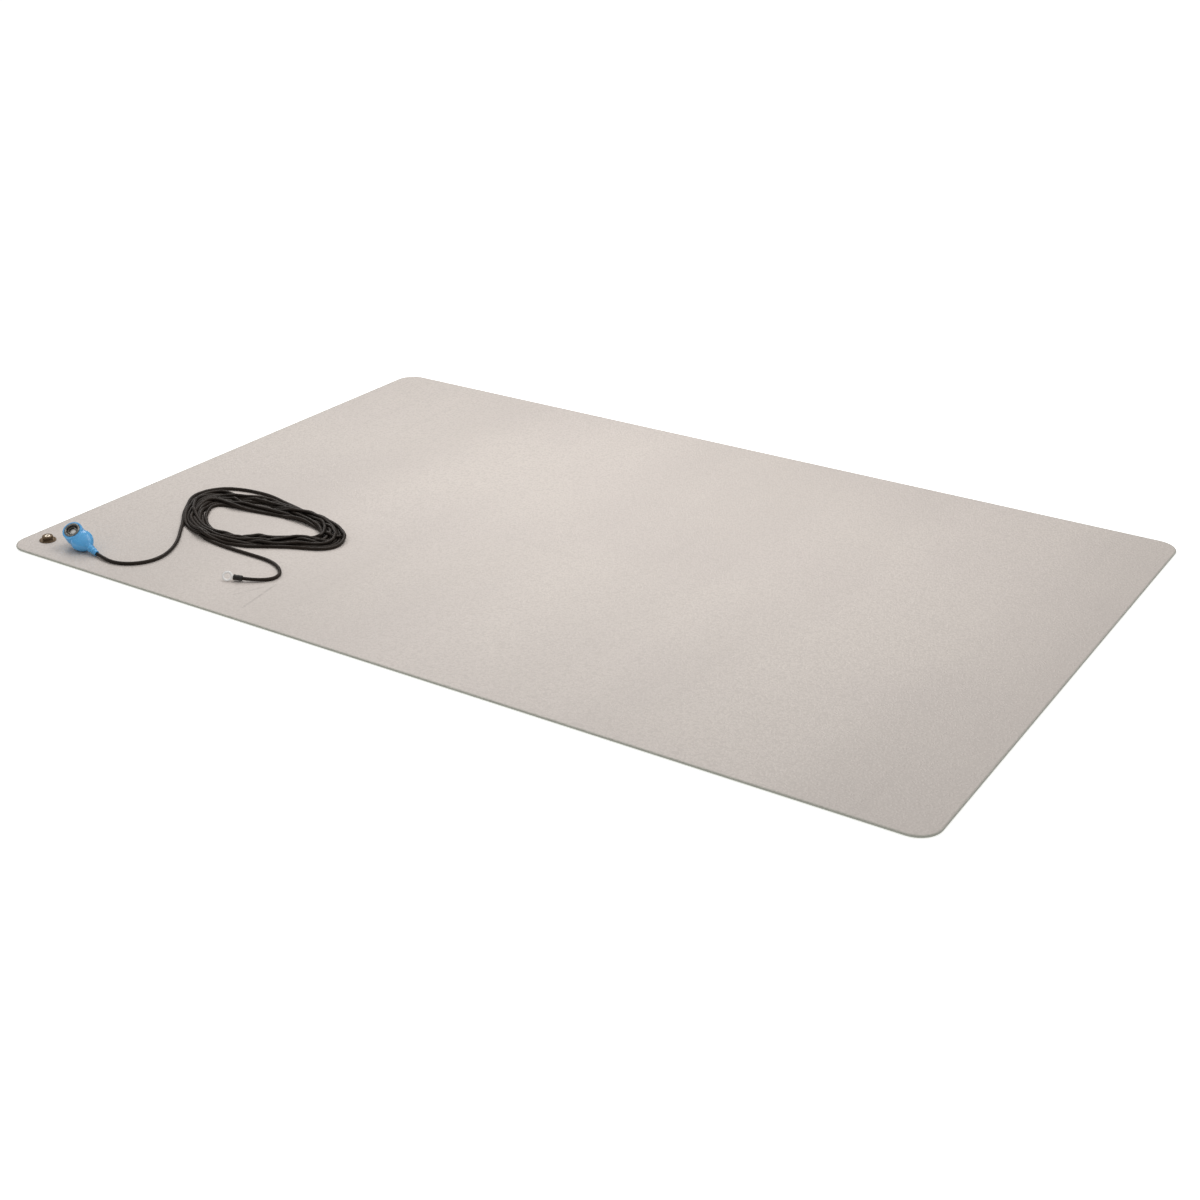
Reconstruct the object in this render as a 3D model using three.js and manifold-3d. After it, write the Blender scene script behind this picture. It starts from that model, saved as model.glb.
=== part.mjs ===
// Anti static bench mat with a press stud in one corner and its ground cord lying coiled on top.
// Millimetres, +Z up. The origin is the centre of the mat's underside, +X runs along the long
// side and +Y along the short side.
import * as THREE from 'three';
import { mergeVertices } from 'three/addons/utils/BufferGeometryUtils.js';
import ManifoldModule from 'manifold-3d';

const wasm = await ManifoldModule();
wasm.setup();

// Mat sheet
const matLength = 900;
const matWidth = 600;
const matThickness = 2;
const matCornerRadius = 20;
const matRimRadius = 0.4;
const matRimSteps = 2;
const matCornerSteps = 12;

// Gaps: between pieces that lie on or inside each other, and along a snap fit
const restGap = 0.3;
const snapClearance = 0.2;

// Press stud, in the corner where the cord snaps on
const studFromLeftEdge = 22.5;
const studFromNearEdge = 28.5;
const studFlangeRadius = 7.6;
const studFlangeThickness = 0.6;
const studRimWidth = 1.1;
const studRimRise = 0.4;
const studHeadRadius = 4.9;
const studNeckInset = 0.4;
const studHeight = 4.8;
const studHeadDepth = 2.2;
const studDishRadius = 3.1;
const studDishDepth = 1.1;
const studEdgeRound = 0.6;

// Rivet that holds the stud through the sheet
const rivetShankRadius = 1.6;
const rivetFlangeRadius = 6;
const rivetFlangeThickness = 0.5;
const rivetHeadHeight = 0.8;
const rivetHollowRadius = 0.9;
const rivetHollowDepth = 0.6;

// Ground cord
const cordDiameter = 3.2;
const cordSides = 8;
const cordStepInDiameters = 2.5;

// Snap housing at the near end of the cord: a round head, a flattened grip and a tapered relief
const headRadius = 9.2;
const headDepth = 14;
const headEdgeRadius = 4;
const headFaceRound = 0.7;
const gripWidth = 20.4;
const gripThickness = 15.6;
const gripStart = 0.2;
const gripLength = 24;
const reliefStartRadius = 5;
const reliefEndRadius = 2.6;
const reliefLength = 20;
const housingLength = 33.6;
const housingAxisDepth = 7.5;
const housingRoll = THREE.MathUtils.degToRad(30);
const housingYaw = THREE.MathUtils.degToRad(-9.7);

// Metal socket set into the housing's face
const socketRadius = 7.2;
const socketDepth = 4;
const socketRimRise = 0.8;
const socketFloorThickness = 0.8;
const socketBeadWidth = 0.25;
const socketRimWidth = 1.3;

// Ring terminal and its sleeve at the far end of the cord
const ringRadius = 4.75;
const ringHoleRadius = 2.65;
const ringThickness = 0.8;
const barrelRadius = 1.9;
const barrelStart = 3.6;
const barrelEnd = 10;
const sleeveStart = 5.4;
const sleeveEnd = 13.6;
const sleeveWall = 0.6;

const cordRadius = cordDiameter / 2;
const cordLevel = matThickness + restGap + cordRadius;

// Route of the lead, from the housing's relief to the coil. The third number is the height of the
// cord's centre above the level where it lies on the mat.
const leadRoute = [
  [-363.0, -272.9, 1.0], [-357.4, -274.2, 0.9], [-350.1, -275.7, 0.4], [-341.3, -276.8, 0.0],
  [-332.1, -275.0, 0.0], [-323.2, -269.7, 0.0], [-315.9, -261.2, 0.0], [-312.2, -250.8, 0.0],
  [-312.7, -239.4, 0.0], [-316.6, -227.2, 0.0], [-322.7, -214.9, 0.0], [-330.4, -203.3, 0.0],
  [-338.8, -192.6, 0.0], [-347.1, -182.0, 0.0], [-353.6, -172.8, 0.0],
];

// Route of the tail, from the coil to the ring terminal
const tailRoute = [
  [-300.0, -193.2, 0.0], [-291.2, -194.6, 0.0], [-280.6, -195.4, 0.0], [-268.0, -196.1, 0.0],
  [-256.2, -196.0, 0.0], [-243.8, -196.3, 0.0], [-232.9, -196.5, 0.0], [-222.5, -198.0, 0.0],
  [-213.0, -201.9, 0.0], [-204.5, -207.6, 0.0], [-198.2, -214.9, 0.0], [-196.0, -222.0, 0.0],
  [-199.0, -228.0, 0.0], [-204.7, -232.9, 0.2], [-211.6, -238.0, 0.8], [-221.4, -242.4, 1.6],
];

// Stations around the coil, clockwise from its left end: x, y, half width and half height
const coilStations = [
  [-369, -117, 13, 6], [-341, -109, 14, 6.5], [-300, -104, 12.5, 6], [-260, -104, 9, 5.5],
  [-224, -114, 10.5, 5.5], [-206, -139, 13.5, 6.5], [-236, -158, 11, 5.5], [-270, -177, 9, 5],
  [-302, -184, 8, 5], [-335, -172, 10, 5.5], [-358, -149, 12, 6],
];
const coilRingSteps = 80;
const coilSectionSides = 16;

const turnedSides = 36;
const arcSteps = 4;

const materials = {
  mat: new THREE.MeshStandardMaterial({ color: 0xd2cac5, roughness: 0.55, metalness: 0 }),
  stud: new THREE.MeshStandardMaterial({ color: 0x9a8468, roughness: 0.4, metalness: 1 }),
  rivet: new THREE.MeshStandardMaterial({ color: 0xcbb79a, roughness: 0.3, metalness: 1 }),
  housing: new THREE.MeshStandardMaterial({ color: 0x55a3dc, roughness: 0.25, metalness: 0 }),
  socket: new THREE.MeshStandardMaterial({ color: 0x8c8c88, roughness: 0.3, metalness: 1 }),
  cord: new THREE.MeshStandardMaterial({ color: 0x1f1c1a, roughness: 0.45, metalness: 0 }),
  sleeve: new THREE.MeshStandardMaterial({ color: 0x141312, roughness: 0.6, metalness: 0 }),
  terminal: new THREE.MeshStandardMaterial({ color: 0xe4e0dc, roughness: 0.25, metalness: 1 }),
};

const model = new THREE.Group();

function addMesh(parent, name, geometry, material) {
  const mesh = new THREE.Mesh(geometry, material);
  mesh.name = name;
  parent.add(mesh);
  return mesh;
}

function toSolid(geometry) {
  const bare = geometry.clone();
  bare.deleteAttribute('normal');
  bare.deleteAttribute('uv');
  const merged = mergeVertices(bare, 1e-4);
  return new wasm.Manifold(new wasm.Mesh({
    numProp: 3,
    vertProperties: new Float32Array(merged.attributes.position.array),
    triVerts: new Uint32Array(merged.index.array),
  }));
}

function toGeometry(solid) {
  const mesh = solid.getMesh();
  const geometry = new THREE.BufferGeometry();
  geometry.setAttribute('position', new THREE.BufferAttribute(new Float32Array(mesh.vertProperties), 3));
  geometry.setIndex(new THREE.BufferAttribute(new Uint32Array(mesh.triVerts), 1));
  geometry.computeVertexNormals();
  return geometry;
}

// A profile of [radius, height] points turned about the Z axis. It starts and ends on the axis,
// or closes on itself.
function turned(profile) {
  const points = profile.map(([radius, height]) => new THREE.Vector2(radius, height));
  const geometry = new THREE.LatheGeometry(points, turnedSides);
  return geometry.rotateX(Math.PI / 2);
}

function disc(radius, bottom, top) {
  const geometry = new THREE.CylinderGeometry(radius, radius, top - bottom, turnedSides);
  return geometry.rotateX(Math.PI / 2).translate(0, 0, (top + bottom) / 2);
}

// Points of a quarter arc from one angle to another, as [radius, height] pairs
function arc(centreRadius, centreHeight, size, fromDegrees, toDegrees) {
  const points = [];
  for (let step = 0; step <= arcSteps; step += 1) {
    const angle = THREE.MathUtils.degToRad(fromDegrees + ((toDegrees - fromDegrees) * step) / arcSteps);
    points.push([centreRadius + size * Math.cos(angle), centreHeight + size * Math.sin(angle)]);
  }
  return points;
}

const studX = -matLength / 2 + studFromLeftEdge;
const studY = -matWidth / 2 + studFromNearEdge;

// Mat: one sheet with round corners and a softened rim, a hole for the rivet's shank and a flat
// seat for its flange in the underside
function buildMat() {
  const halfLength = matLength / 2;
  const halfWidth = matWidth / 2;
  const radius = matCornerRadius;
  const outline = new THREE.Shape();
  outline.absarc(halfLength - radius, halfWidth - radius, radius, 0, Math.PI / 2, false);
  outline.absarc(-halfLength + radius, halfWidth - radius, radius, Math.PI / 2, Math.PI, false);
  outline.absarc(-halfLength + radius, -halfWidth + radius, radius, Math.PI, 1.5 * Math.PI, false);
  outline.absarc(halfLength - radius, -halfWidth + radius, radius, 1.5 * Math.PI, 2 * Math.PI, false);
  const sheet = new THREE.ExtrudeGeometry(outline, {
    depth: matThickness - 2 * matRimRadius,
    bevelEnabled: true,
    bevelThickness: matRimRadius,
    bevelSize: matRimRadius,
    bevelOffset: -matRimRadius,
    bevelSegments: matRimSteps,
    curveSegments: matCornerSteps,
  }).translate(0, 0, matRimRadius);
  const hole = disc(rivetShankRadius + restGap, -1, matThickness + 1).translate(studX, studY, 0);
  const seat = disc(rivetFlangeRadius + restGap, -1, rivetFlangeThickness).translate(studX, studY, 0);
  const solid = toSolid(sheet).subtract(toSolid(hole)).subtract(toSolid(seat));
  addMesh(model, 'mat', toGeometry(solid), materials.mat);
}

// Press stud: a flange with a raised rim, a necked head with a flat top, and a dish for the rivet
function buildStud() {
  const bore = rivetShankRadius + restGap;
  const rimTop = studFlangeThickness + studRimRise;
  const shoulder = studHeight - studHeadDepth;
  const dishFloor = studHeight - studDishDepth;
  const neckRadius = studHeadRadius - studNeckInset;
  const headCentre = studHeadRadius - studEdgeRound;
  const profile = [
    [bore, 0],
    [studFlangeRadius, 0],
    [studFlangeRadius, studFlangeThickness],
    [studFlangeRadius - studRimRise, rimTop],
    [studFlangeRadius - studRimWidth, rimTop],
    [studFlangeRadius - studRimWidth - studRimRise, studFlangeThickness],
    [neckRadius, studFlangeThickness],
    [neckRadius, shoulder - studNeckInset],
    [studHeadRadius, shoulder],
    ...arc(headCentre, studHeight - studEdgeRound, studEdgeRound, 0, 90),
    [studDishRadius, studHeight],
    [studDishRadius, dishFloor],
    [bore, dishFloor],
    [bore, 0],
  ];
  addMesh(model, 'snap_stud', turned(profile), materials.stud).position.set(studX, studY, matThickness);
}

// Rivet: a flat flange under the sheet, a shank through sheet and stud, and a rolled head
function buildRivet() {
  const headSeat = matThickness + studHeight - studDishDepth;
  const headRadius = studDishRadius - restGap;
  const headTop = headSeat + rivetHeadHeight;
  const headRound = (headRadius - rivetHollowRadius) / 2;
  const profile = [
    [0, 0],
    [rivetFlangeRadius, 0],
    [rivetFlangeRadius, rivetFlangeThickness],
    [rivetShankRadius, rivetFlangeThickness],
    [rivetShankRadius, headSeat],
    [headRadius, headSeat],
    [headRadius, headTop - headRound / 2],
    [headRadius - headRound / 2, headTop],
    [rivetHollowRadius + headRound / 2, headTop],
    [rivetHollowRadius, headTop - headRound / 2],
    [rivetHollowRadius, headTop - rivetHollowDepth],
    [0, headTop - rivetHollowDepth],
  ];
  addMesh(model, 'stud_rivet', turned(profile), materials.rivet).position.set(studX, studY, 0);
}

// The tilt that lets the rolled housing lie on its relief's end and on its head or grip,
// whichever of the two reaches lower
function housingTilt() {
  const across = Math.sin(housingRoll);
  const down = Math.cos(housingRoll);
  const headReach = (headRadius - headEdgeRadius) * across
    + (headDepth - headEdgeRadius - housingAxisDepth) * down + headEdgeRadius;
  const gripReach = Math.hypot((gripWidth / 2) * across, (gripThickness / 2) * down);
  const gripDistance = housingLength - gripStart - gripLength / 2;
  return Math.max(
    Math.asin((headReach - reliefEndRadius) / housingLength),
    Math.asin((gripReach - reliefEndRadius) / gripDistance),
  );
}

// Snap housing and its socket. Their own frame has its origin on the housing's axis at the
// cord's exit, with the head at minus X and the socket's face towards plus Z. The head and the
// end of the relief both lie on the mat.
function buildHousing() {
  const exit = leadRoute[0];
  const housing = new THREE.Group();
  housing.rotation.set(housingRoll, housingTilt(), housingYaw, 'ZYX');
  housing.position.set(exit[0], exit[1], matThickness + restGap + reliefEndRadius);
  model.add(housing);

  const head = turned([
    [0, -headDepth],
    ...arc(headRadius - headEdgeRadius, headEdgeRadius - headDepth, headEdgeRadius, -90, 0),
    ...arc(headRadius - headFaceRound, -headFaceRound, headFaceRound, 0, 90),
    [0, 0],
  ]).translate(-housingLength, 0, housingAxisDepth);

  const gripProfile = [[0, 0]];
  const gripSteps = 14;
  for (let step = 1; step < gripSteps; step += 1) {
    const along = step / gripSteps;
    const swell = Math.sin(Math.PI * along ** 0.8) ** 0.6;
    gripProfile.push([(gripWidth / 2) * swell, gripLength * along]);
  }
  gripProfile.push([0, gripLength]);
  const grip = turned(gripProfile)
    .scale(gripThickness / gripWidth, 1, 1)
    .rotateY(Math.PI / 2)
    .translate(-housingLength + gripStart, 0, 0);

  const relief = turned([
    [0, -reliefLength],
    [reliefStartRadius, -reliefLength],
    [(reliefStartRadius + 2 * reliefEndRadius) / 3, -reliefLength / 2],
    [reliefEndRadius, 0],
    [0, 0],
  ]).rotateY(Math.PI / 2);

  const pocketFloor = housingAxisDepth - socketDepth - restGap;
  const pocket = disc(socketRadius + restGap, pocketFloor, gripWidth).translate(-housingLength, 0, 0);
  const solid = toSolid(head).add(toSolid(grip)).add(toSolid(relief)).subtract(toSolid(pocket));
  addMesh(housing, 'cord_snap_housing', toGeometry(solid), materials.housing);

  const bore = studHeadRadius + snapClearance;
  const rimCentre = socketRadius - socketRimWidth / 2;
  const floorTop = socketFloorThickness - socketDepth;
  const socket = turned([
    [0, -socketDepth],
    [socketRadius, -socketDepth],
    [socketRadius, socketRimRise / 2],
    [rimCentre, socketRimRise],
    [bore + socketBeadWidth, socketRimRise / 2],
    [bore, 0],
    [bore + socketBeadWidth, floorTop / 2],
    [bore + socketBeadWidth, floorTop],
    [0, floorTop],
  ]).translate(-housingLength, 0, housingAxisDepth);
  addMesh(housing, 'cord_snap_socket', socket, materials.socket);
}

function routePoints(route) {
  return route.map(([x, y, rise]) => new THREE.Vector3(x, y, cordLevel + rise));
}

// A round tube along a smooth curve through the given points
function cordTube(points) {
  const curve = new THREE.CatmullRomCurve3(points, false, 'centripetal');
  const section = new THREE.Shape();
  for (let side = 0; side < cordSides; side += 1) {
    const angle = (2 * Math.PI * (side + 0.5)) / cordSides;
    const corner = [cordRadius * Math.cos(angle), cordRadius * Math.sin(angle)];
    if (side === 0) {
      section.moveTo(...corner);
    } else {
      section.lineTo(...corner);
    }
  }
  section.closePath();
  const steps = Math.round(curve.getLength() / (cordStepInDiameters * cordDiameter));
  return new THREE.ExtrudeGeometry(section, { extrudePath: curve, steps, bevelEnabled: false });
}

// The point that lies a given distance from one point towards another
function pointTowards(from, to, distance) {
  return from.clone().addScaledVector(to.clone().sub(from).normalize(), distance);
}

// Lead: from just outside the housing's relief to the coil. The relief's end leans over the
// start of the lead by the housing's tilt.
function buildLead() {
  const points = routePoints(leadRoute);
  points[0] = pointTowards(points[0], points[1], restGap + cordRadius * Math.sin(housingTilt()));
  addMesh(model, 'cord_lead', cordTube(points), materials.cord);
}

// Tail: from the coil to the ring terminal's barrel
function buildTail() {
  addMesh(model, 'cord_tail', cordTube(routePoints(tailRoute)), materials.cord);
}

// Coil: the outer shape of the bundle of turns, an oval ring that lies on the mat. A torus is
// bent onto the ring's middle line, which runs through the stations.
function buildCoil() {
  const middle = new THREE.CatmullRomCurve3(
    coilStations.map(([x, y]) => new THREE.Vector3(x, y, 0)), true, 'centripetal');
  const section = new THREE.CatmullRomCurve3(
    coilStations.map(([, , halfWidth, halfHeight]) => new THREE.Vector3(halfWidth, halfHeight, 0)), true);
  const geometry = new THREE.TorusGeometry(1, 0.5, coilSectionSides, coilRingSteps);
  const position = geometry.attributes.position;
  const up = new THREE.Vector3(0, 0, 1);
  for (let index = 0; index < position.count; index += 1) {
    const ringStep = index % (coilRingSteps + 1);
    const sideStep = Math.floor(index / (coilRingSteps + 1));
    const around = (ringStep % coilRingSteps) / coilRingSteps;
    const sideAngle = (2 * Math.PI * (sideStep % coilSectionSides)) / coilSectionSides;
    const size = section.getPoint(around);
    const outward = middle.getTangent(around).cross(up).negate().normalize();
    const point = middle.getPoint(around).addScaledVector(outward, size.x * Math.cos(sideAngle));
    point.z = matThickness + restGap + size.y * (1 - Math.sin(sideAngle));
    position.setXYZ(index, point.x, point.y, point.z);
  }
  geometry.computeVertexNormals();
  addMesh(model, 'cord_coil', geometry, materials.cord);
}

// Ring terminal and sleeve. Their own frame has its origin at the ring's centre, with the cord
// at plus X and the ring's face towards plus Z. The ring stands on its edge on the mat.
function buildTerminal() {
  const points = routePoints(tailRoute);
  const last = points[points.length - 1];
  const along = last.clone().sub(points[points.length - 2]).normalize();
  const centre = last.clone().addScaledVector(along, barrelEnd + restGap);
  const edgeReach = centre.z - matThickness - restGap - ringThickness / 2;
  const roll = Math.asin(Math.min(1, edgeReach / ringRadius));
  const terminal = new THREE.Group();
  const yaw = Math.atan2(-along.y, -along.x);
  const tilt = Math.asin(along.z);
  terminal.rotation.set(roll, tilt, yaw, 'ZYX');
  terminal.position.copy(centre);
  model.add(terminal);

  const plate = disc(ringRadius, -ringThickness / 2, ringThickness / 2);
  const barrel = disc(barrelRadius, barrelStart, barrelEnd).rotateY(Math.PI / 2);
  const hole = disc(ringHoleRadius, -ringThickness, ringThickness);
  const solid = toSolid(plate).add(toSolid(barrel)).subtract(toSolid(hole));
  addMesh(terminal, 'ring_terminal', toGeometry(solid), materials.terminal);

  const bore = barrelRadius + restGap;
  const sleeve = turned([
    [bore, sleeveStart],
    [bore + sleeveWall, sleeveStart],
    [bore + sleeveWall, sleeveEnd],
    [bore, sleeveEnd],
    [bore, sleeveStart],
  ]).rotateY(Math.PI / 2);
  addMesh(terminal, 'terminal_sleeve', sleeve, materials.sleeve);
}

buildMat();
buildStud();
buildRivet();
buildHousing();
buildLead();
buildCoil();
buildTail();
buildTerminal();

export default model;
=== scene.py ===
"""Anti static bench mat with a press stud and its coiled ground cord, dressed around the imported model."""

import math

import bmesh
import bpy
import numpy as np
from bpy.props import FloatProperty, FloatVectorProperty, IntProperty, PointerProperty
from mathutils import Matrix, Vector


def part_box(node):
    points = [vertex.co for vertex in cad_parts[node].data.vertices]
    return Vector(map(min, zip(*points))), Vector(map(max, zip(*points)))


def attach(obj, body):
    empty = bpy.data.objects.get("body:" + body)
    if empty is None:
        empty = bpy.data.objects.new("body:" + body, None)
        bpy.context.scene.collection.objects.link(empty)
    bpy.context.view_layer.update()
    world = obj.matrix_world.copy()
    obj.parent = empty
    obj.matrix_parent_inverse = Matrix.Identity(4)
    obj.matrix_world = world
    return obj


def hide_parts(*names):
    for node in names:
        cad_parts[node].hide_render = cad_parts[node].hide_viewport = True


bl_info = {
    "name": "Anti static bench mat",
    "version": (1, 0, 0),
    "blender": (4, 5, 0),
    "location": "View3D > Sidebar > Bench mat",
    "description": "Builds a bench mat with its press stud and coiled ground cord",
    "category": "Add Mesh",
}

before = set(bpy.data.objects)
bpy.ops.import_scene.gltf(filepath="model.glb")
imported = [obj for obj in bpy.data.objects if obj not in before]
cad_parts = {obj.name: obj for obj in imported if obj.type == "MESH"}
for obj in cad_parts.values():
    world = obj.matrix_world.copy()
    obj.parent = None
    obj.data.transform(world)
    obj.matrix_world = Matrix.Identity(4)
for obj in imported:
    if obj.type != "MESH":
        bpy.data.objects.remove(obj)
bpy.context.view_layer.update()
BODY = "root"
MM = 0.001

MAT_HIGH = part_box("mat")[1]
STUD_LOW, STUD_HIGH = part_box("snap_stud")
MAT_TOP = MAT_HIGH[2]
STUD_CENTRE = ((STUD_LOW[0] + STUD_HIGH[0]) / 2, (STUD_LOW[1] + STUD_HIGH[1]) / 2)

# How far above the sheet the cord lies; its solids begin 0.3 mm above the sheet
LIE_GAP = 0.00005
CORD_RADIUS_MM = 1.6

# Routes of the cord, in millimetres: x, y and the height above the level of a cord on the mat
LEAD_ROUTE = [
    (-363.0, -272.9, 1.0), (-357.4, -274.2, 0.9), (-350.1, -275.7, 0.4), (-341.3, -276.8, 0.0),
    (-332.1, -275.0, 0.0), (-323.2, -269.7, 0.0), (-315.9, -261.2, 0.0), (-312.2, -250.8, 0.0),
    (-312.7, -239.4, 0.0), (-316.6, -227.2, 0.0), (-322.7, -214.9, 0.0), (-330.4, -203.3, 0.0),
    (-338.8, -192.6, 0.0), (-347.1, -182.0, 0.0), (-353.6, -172.8, 0.0),
]
TAIL_ROUTE = [
    (-300.0, -193.2, 0.0), (-291.2, -194.6, 0.0), (-280.6, -195.4, 0.0), (-268.0, -196.1, 0.0),
    (-256.2, -196.0, 0.0), (-243.8, -196.3, 0.0), (-232.9, -196.5, 0.0), (-222.5, -198.0, 0.0),
    (-213.0, -201.9, 0.0), (-204.5, -207.6, 0.0), (-198.2, -214.9, 0.0), (-196.0, -222.0, 0.0),
    (-199.0, -228.0, 0.0), (-204.7, -232.9, 0.2), (-211.6, -238.0, 0.8), (-221.4, -242.4, 1.6),
]
# Stations around the coil, clockwise from its left end: x, y, half width and half height
COIL_STATIONS = [
    (-369, -117, 13, 6), (-341, -109, 14, 6.5), (-300, -104, 12.5, 6), (-260, -104, 9, 5.5),
    (-224, -114, 10.5, 5.5), (-206, -139, 13.5, 6.5), (-236, -158, 11, 5.5), (-270, -177, 9, 5),
    (-302, -184, 8, 5), (-335, -172, 10, 5.5), (-358, -149, 12, 6),
]


# Sizes and colours

class BenchMatSheet(bpy.types.PropertyGroup):
    corner_radius: FloatProperty(
        name="Corner radius", description="Radius of the sheet's corners",
        default=0.02, min=0.001, unit="LENGTH")
    rim_radius: FloatProperty(
        name="Rim radius", description="Rounding of the sheet's cut edge", default=0.0007, unit="LENGTH")
    wave_depth: FloatProperty(
        name="Wave depth", description="Depth of the sheet's slight waves", default=0.0003, unit="LENGTH")
    grain_size: FloatProperty(
        name="Grain size", description="Size of one pebble of the grain", default=0.0023, unit="LENGTH")
    grain_depth: FloatProperty(
        name="Grain depth", description="Height of the pebble grain", default=0.00035, unit="LENGTH")
    colour: FloatVectorProperty(
        name="Colour", description="Colour of the sheet", subtype="COLOR", size=3,
        default=(0.66, 0.603, 0.563))
    side_colour: FloatVectorProperty(
        name="Side colour", description="Colour of the cut side", subtype="COLOR", size=3,
        default=(0.33, 0.335, 0.29))


class BenchMatStud(bpy.types.PropertyGroup):
    flange_radius: FloatProperty(
        name="Flange radius", description="Radius of the stud's flange", default=0.0076, unit="LENGTH")
    head_radius: FloatProperty(
        name="Head radius", description="Radius of the stud's head", default=0.0049, unit="LENGTH")
    height: FloatProperty(
        name="Height", description="Height of the stud above the sheet", default=0.0048, unit="LENGTH")
    colour: FloatVectorProperty(
        name="Colour", description="Colour of the tarnished stud", subtype="COLOR", size=3,
        default=(0.23, 0.165, 0.105))
    rivet_colour: FloatVectorProperty(
        name="Rivet colour", description="Colour of the rubbed rivet", subtype="COLOR", size=3,
        default=(0.75, 0.66, 0.55))


class BenchMatHousing(bpy.types.PropertyGroup):
    head_radius: FloatProperty(
        name="Head radius", description="Radius of the snap housing's round head",
        default=0.0092, unit="LENGTH")
    head_depth: FloatProperty(
        name="Head depth", description="Depth of the head behind its face", default=0.014, unit="LENGTH")
    grip_width: FloatProperty(
        name="Grip width", description="Width of the grip", default=0.0204, unit="LENGTH")
    grip_thickness: FloatProperty(
        name="Grip thickness", description="Thickness of the grip", default=0.0156, unit="LENGTH")
    socket_radius: FloatProperty(
        name="Socket radius", description="Outer radius of the metal socket", default=0.0072, unit="LENGTH")
    colour: FloatVectorProperty(
        name="Colour", description="Colour of the moulding", subtype="COLOR", size=3,
        default=(0.1, 0.41, 0.78))
    socket_colour: FloatVectorProperty(
        name="Socket colour", description="Colour of the socket", subtype="COLOR", size=3,
        default=(0.23, 0.225, 0.21))


class BenchMatCord(bpy.types.PropertyGroup):
    diameter: FloatProperty(
        name="Diameter", description="Diameter of the cord", default=0.0032, unit="LENGTH")
    turns_in: FloatProperty(
        name="Turns in", description="Turns from the lead to the fold", default=5.55)
    turns_out: FloatProperty(
        name="Turns out", description="Turns from the fold to the tail", default=4.65)
    gather: FloatProperty(
        name="Gather", description="How strongly the turns are drawn together into a pile", default=0.02)
    sides: IntProperty(
        name="Sides", description="Sides of the cord's round section", default=14)
    seed: IntProperty(
        name="Seed", description="Seed of the turns' wander in the bundle", default=7)
    colour: FloatVectorProperty(
        name="Colour", description="Colour of the jacket", subtype="COLOR", size=3,
        default=(0.016, 0.0115, 0.009))


class BenchMatTerminal(bpy.types.PropertyGroup):
    ring_radius: FloatProperty(
        name="Ring radius", description="Outer radius of the ring", default=0.00475, unit="LENGTH")
    hole_radius: FloatProperty(
        name="Hole radius", description="Radius of the ring's hole", default=0.00265, unit="LENGTH")
    thickness: FloatProperty(
        name="Thickness", description="Thickness of the ring", default=0.0008, unit="LENGTH")
    # Near white: the tin's own light colour with its glint painted in
    colour: FloatVectorProperty(
        name="Colour", description="Colour of the tinned metal", subtype="COLOR", size=3,
        default=(0.95, 0.93, 0.91))
    sleeve_colour: FloatVectorProperty(
        name="Sleeve colour", description="Colour of the sleeve", subtype="COLOR", size=3,
        default=(0.012, 0.011, 0.01))


class BenchMatStage(bpy.types.PropertyGroup):
    floor_colour: FloatVectorProperty(
        name="Floor colour", description="Colour of the floor", subtype="COLOR", size=3,
        default=(0.95, 0.95, 0.95))
    floor_glow: FloatProperty(
        name="Floor glow", description="Light from the floor itself, as on a light table", default=0.55)
    room_light: FloatProperty(
        name="Room light", description="Strength of the room's light from straight above", default=0.77)
    low_light: FloatProperty(
        name="Low light", description="Strength of the room's light from the horizon", default=0.1)
    top_light: FloatProperty(
        name="Top light", description="Power of the soft light above", default=2.3, unit="POWER")
    side_light: FloatProperty(
        name="Side light", description="Power of the larger soft light from the side",
        default=11.0, unit="POWER")


SETTINGS = {
    "bench_sheet": BenchMatSheet,
    "bench_stud": BenchMatStud,
    "bench_housing": BenchMatHousing,
    "bench_cord": BenchMatCord,
    "bench_terminal": BenchMatTerminal,
    "bench_stage": BenchMatStage,
}


# Node groups shared by the materials

def new_group(name, inputs, outputs):
    """An empty shader node group with named sockets, and its input and output nodes."""
    group = bpy.data.node_groups.new(name, "ShaderNodeTree")
    for label, kind, value in inputs:
        socket = group.interface.new_socket(name=label, in_out="INPUT", socket_type=kind)
        if value is not None:
            socket.default_value = value
    for label, kind in outputs:
        group.interface.new_socket(name=label, in_out="OUTPUT", socket_type=kind)
    return group, group.nodes.new("NodeGroupInput"), group.nodes.new("NodeGroupOutput")


def feed(tree, socket, value):
    """Links an output into the socket, or sets the socket's constant."""
    if isinstance(value, bpy.types.NodeSocket):
        tree.links.new(value, socket)
    else:
        socket.default_value = value


def add_node(tree, kind, settings=None, **values):
    """A node with its own settings and the values or links of its named inputs."""
    node = tree.nodes.new(kind)
    for key, value in (settings or {}).items():
        setattr(node, key, value)
    for key, value in values.items():
        feed(tree, node.inputs[int(key[1:]) if key[1:].isdigit() else key.replace("_", " ")], value)
    return node


def math_node(tree, operation, first, second=0.0, third=0.0):
    node = add_node(tree, "ShaderNodeMath", {"operation": operation}, i0=first, i1=second, i2=third)
    return node.outputs[0]


def ramp(tree, value, low, high, out_low=0.0, out_high=1.0, smooth=True):
    settings = {"interpolation_type": "SMOOTHSTEP" if smooth else "LINEAR"}
    node = add_node(tree, "ShaderNodeMapRange", settings, i0=value, i1=low, i2=high, i3=out_low, i4=out_high)
    return node.outputs[0]


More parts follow.
